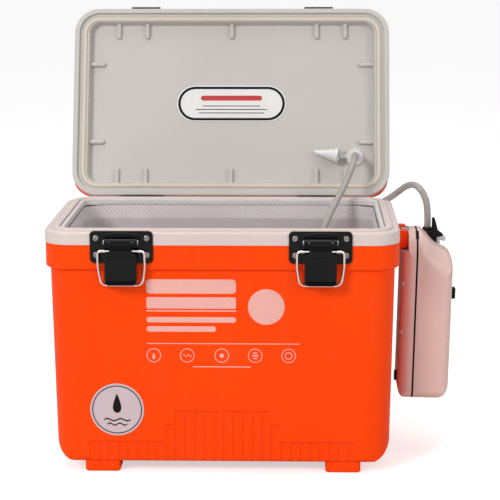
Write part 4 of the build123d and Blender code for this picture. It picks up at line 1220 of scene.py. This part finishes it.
# ---- Pump and hoses
@dataclass
class Pump(SubAssembly):
    """The battery air pump that hangs on the bracket, with what is inside it.

    Its own axes start at the top middle of its back face and lean with it.
    """

    top: Place = (164.8, 0.0, 211.5)
    tilt: float = 1.3
    bodies: tuple[str, ...] = ("pump", "valve", "switch", "crank")

    def point(self, x: float, y: float, z: float) -> Vector:
        """Row-frame point, in metres, of a point in the pump's axes, in millimetres."""
        turn = Matrix.Rotation(math.radians(self.tilt), 3, "Y")
        return tub_point(*(Vector(self.top) + turn @ Vector((x, y, z))))


class FarEnd(Enum):
    """What holds a hose's far end."""

    OBJECT = "object"
    FITTING = "fitting"


@dataclass
class Hose:
    """A soft hose along a smooth route between two fittings.

    The route's points are row-frame metres.
    """

    name: str
    node: str
    route: list[Vector]
    start: Vector
    end: Vector
    far_end: FarEnd = FarEnd.OBJECT
    end_pieces: list[bpy.types.Object] = field(default_factory=list)
    radius: float = 0.0031

    def build(self, wardrobe: Wardrobe) -> bpy.types.Object:
        """Args:
            wardrobe: the materials by slot.

        Returns:
            The tube.
        """
        line = smooth_line(self.route)
        tube = tube_along(self.name, line, self.radius)
        wardrobe.dress_piece(tube, "hose_clear")
        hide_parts(self.node)
        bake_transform(tube)
        return tube


@dataclass
class AirLine:
    """Where the two hoses run, in millimetres: their middles in the tub's axes.

    Heights of the port's two mouths are those of the shut lid.
    """

    nozzle: Flat = (24.8, 12.0)
    outside: tuple[Place, ...] = (
        (187.5, 10, 239), (179.5, 14, 250), (172, 33, 247), (166, 60, 237), (161, 85, 228),
        (156, 108, 220), (150, 130, 213.5), (143, 152, 208), (136, 172, 206), (129, 188, 211),
        (125, 194.5, 224), (124, 188, 237))
    inside: tuple[Place, ...] = (
        (122.8, 98, 260), (118.1, 84, 249.6), (111.9, 68, 238.5), (104.5, 53, 227),
        (96.6, 40, 214), (90.5, 29, 200), (88, 21, 183), (88.5, 16.5, 160), (90.5, 15, 130),
        (92.8, 15.5, 100), (94, 15, 80), (94, 15, 68))
    port_above: Flat = (275.0, 262.0)
    port_below: Flat = (228.0, 216.0)
    outside_bend: tuple[Place, Place] = ((150, 60, 230), (124.6, 165, 250))
    inside_bend: tuple[Place, Place] = ((100, 45, 200), (124.6, 112, 262))

    def hoses(self, lid: Lid, pump: Pump, stone: bpy.types.Object) -> list[Hose]:
        """The hose from the pump to the lid's port, and the one from it to the air stone.

        Args:
            lid: the open lid that the port is in.
            pump: the pump that the outer hose starts in.
            stone: the air stone on the inner hose.

        Returns:
            The two hoses, not yet built.
        """
        outer = [pump.point(*self.nozzle, rise) for rise in (-0.6, 12.4)]
        outer += [tub_point(*point) for point in self.outside]
        outer += [lid.point(*lid.port, height) for height in self.port_above]
        inner = [lid.point(*lid.port, height) for height in self.port_below]
        inner += [tub_point(*point) for point in self.inside]
        return [
            Hose("hose_from_pump", "hose_outer", outer[::-1],
                 *[tub_point(*place) for place in self.outside_bend]),
            Hose("hose_to_stone", "hose_inner", inner,
                 *[tub_point(*place) for place in self.inside_bend], FarEnd.FITTING, [stone]),
        ]


# ---- Studio
@dataclass(frozen=True)
class Lamp:
    """A square area lamp aimed at a point, in metres and watts."""

    name: str
    place: Place
    target: Place
    size: float
    power: float

    def hang(self) -> None:
        """Adds the lamp to the scene."""
        data = bpy.data.lights.new(self.name, "AREA")
        data.size = self.size
        data.energy = self.power
        lamp = bpy.data.objects.new(self.name, data)
        lamp.location = self.place
        aim = Vector(self.target) - Vector(self.place)
        lamp.rotation_euler = aim.to_track_quat("-Z", "Y").to_euler()
        bpy.context.scene.collection.objects.link(lamp)


@dataclass
class Studio:
    """Plain pale floor, soft lamps, white surroundings and the camera.

    The key lamp stands above the front left, the fill on the right and the top lamp overhead.
    """

    lamps: tuple[Lamp, ...] = (Lamp("key", (-1.25, -1.8, 1.35), (0.0, 0.0, 0.15), 0.6, 28.0),
                               Lamp("fill", (1.6, -1.3, 1.0), (0.0, 0.0, 0.15), 1.0, 9.5),
                               Lamp("top", (0.0, 0.3, 1.9), (0.0, 0.0, 0.1), 1.5, 11.0))
    sensor: float = 36.0
    reach: float = 100.0
    lens: float = 122.1
    camera_at: Place = (69.8, -1563.6, 495.3)
    yaw: float = 1.719
    pitch: float = 11.05
    roll: float = -0.147
    surround: float = 0.46
    mirrored: float = 0.3
    sky: float = 1.3
    sky_low: float = 0.15
    sky_high: float = 0.55
    floor_half: float = 30.0
    floor_grey: float = 0.72
    floor_lift: float = 0.56

    def camera(self) -> None:
        """Places the camera."""
        data = bpy.data.cameras.new("camera")
        data.lens = self.lens
        data.sensor_width = self.sensor
        data.clip_end = self.reach
        view = bpy.data.objects.new("camera", data)
        turn = (Matrix.Rotation(math.radians(self.yaw), 3, "Z")
                @ Matrix.Rotation(-math.radians(self.pitch), 3, "X")
                @ Matrix.Rotation(-math.radians(self.roll), 3, "Y")
                @ Matrix.Rotation(math.radians(90.0), 3, "X"))
        view.matrix_world = Matrix.Translation(tub_point(*self.camera_at)) @ turn.to_4x4()
        bpy.context.scene.collection.objects.link(view)
        bpy.context.scene.camera = view

    def surroundings(self) -> None:
        """White all round: plain white to the camera, dimmer in reflections and as a light."""
        world = bpy.data.worlds.new("surroundings")
        world.use_nodes = True
        bpy.context.scene.world = world
        graph = Graph(world.node_tree)
        path = graph.add("ShaderNodeLightPath").outputs
        shiny = graph.math("MAXIMUM", path["Is Glossy Ray"], path["Is Transmission Ray"])
        heading = graph.add("ShaderNodeSeparateXYZ",
                            {0: graph.add("ShaderNodeTexCoord").outputs["Generated"]})
        above = graph.spread(heading.outputs[2], self.sky_low, self.sky_high,
                             self.mirrored, self.sky)
        extra = graph.math("MULTIPLY", shiny, graph.math("SUBTRACT", above, self.surround))
        light = graph.math("ADD", extra, self.surround)
        strength = graph.math("MAXIMUM", light, path["Is Camera Ray"])
        back = world.node_tree.nodes["Background"]
        set_inputs(back, Color=(1.0, 1.0, 1.0, 1.0))
        graph.feed(back, Strength=strength)

    def floor(self) -> None:
        """A wide pale floor that keeps the object's shadow."""
        mesh = bmesh.new()
        corners = ((-1, -1), (1, -1), (1, 1), (-1, 1))
        mesh.faces.new([mesh.verts.new((x * self.floor_half, y * self.floor_half, 0.0))
                        for x, y in corners])
        ground = mesh_object("floor", mesh, smooth=False)
        material, graph, shader = new_material("Pale floor")
        set_inputs(shader, Base_Color=(*[self.floor_grey] * 3, 1.0), Roughness=0.9,
                   Emission_Color=(1.0, 1.0, 1.0, 1.0))
        path = graph.add("ShaderNodeLightPath").outputs
        lift = graph.math("MULTIPLY", path["Is Camera Ray"], self.floor_lift)
        graph.feed(shader, Emission_Strength=lift)
        ground.data.materials.append(material)


def report(pieces: list[bpy.types.Object], what: str) -> None:
    """Logs each piece of a sub-assembly."""
    for piece in pieces:
        LOG.info("%s: %s", what, piece.name)


def main() -> None:
    """Loads the frame, builds and dresses each sub-assembly, and lights the scene."""
    logging.basicConfig(level=logging.INFO, format="%(name)s %(message)s")
    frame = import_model()
    wardrobe = Wardrobe()
    studio = Studio()
    studio.camera()
    tub, lid, pump = Tub(), Lid(), Pump()
    hoses = AirLine().hoses(lid, pump, frame["nodes"]["air_stone"])
    report([hose.build(wardrobe) for hose in hoses], "hose")
    tub.dress(frame, wardrobe)
    report([NetBag().build(wardrobe), tub.stitch_hem(wardrobe)], "net")
    report([tub.print_front(), tub.print_sticker()], "front")
    lid.dress(frame, wardrobe)
    report(lid.print_label(), "lid")
    Latches().dress(frame, wardrobe)
    pump.dress(frame, wardrobe)
    for lamp in studio.lamps:
        lamp.hang()
    studio.surroundings()
    studio.floor()
    bpy.context.scene.view_settings.view_transform = "Standard"


if __name__ == "__main__":
    main()
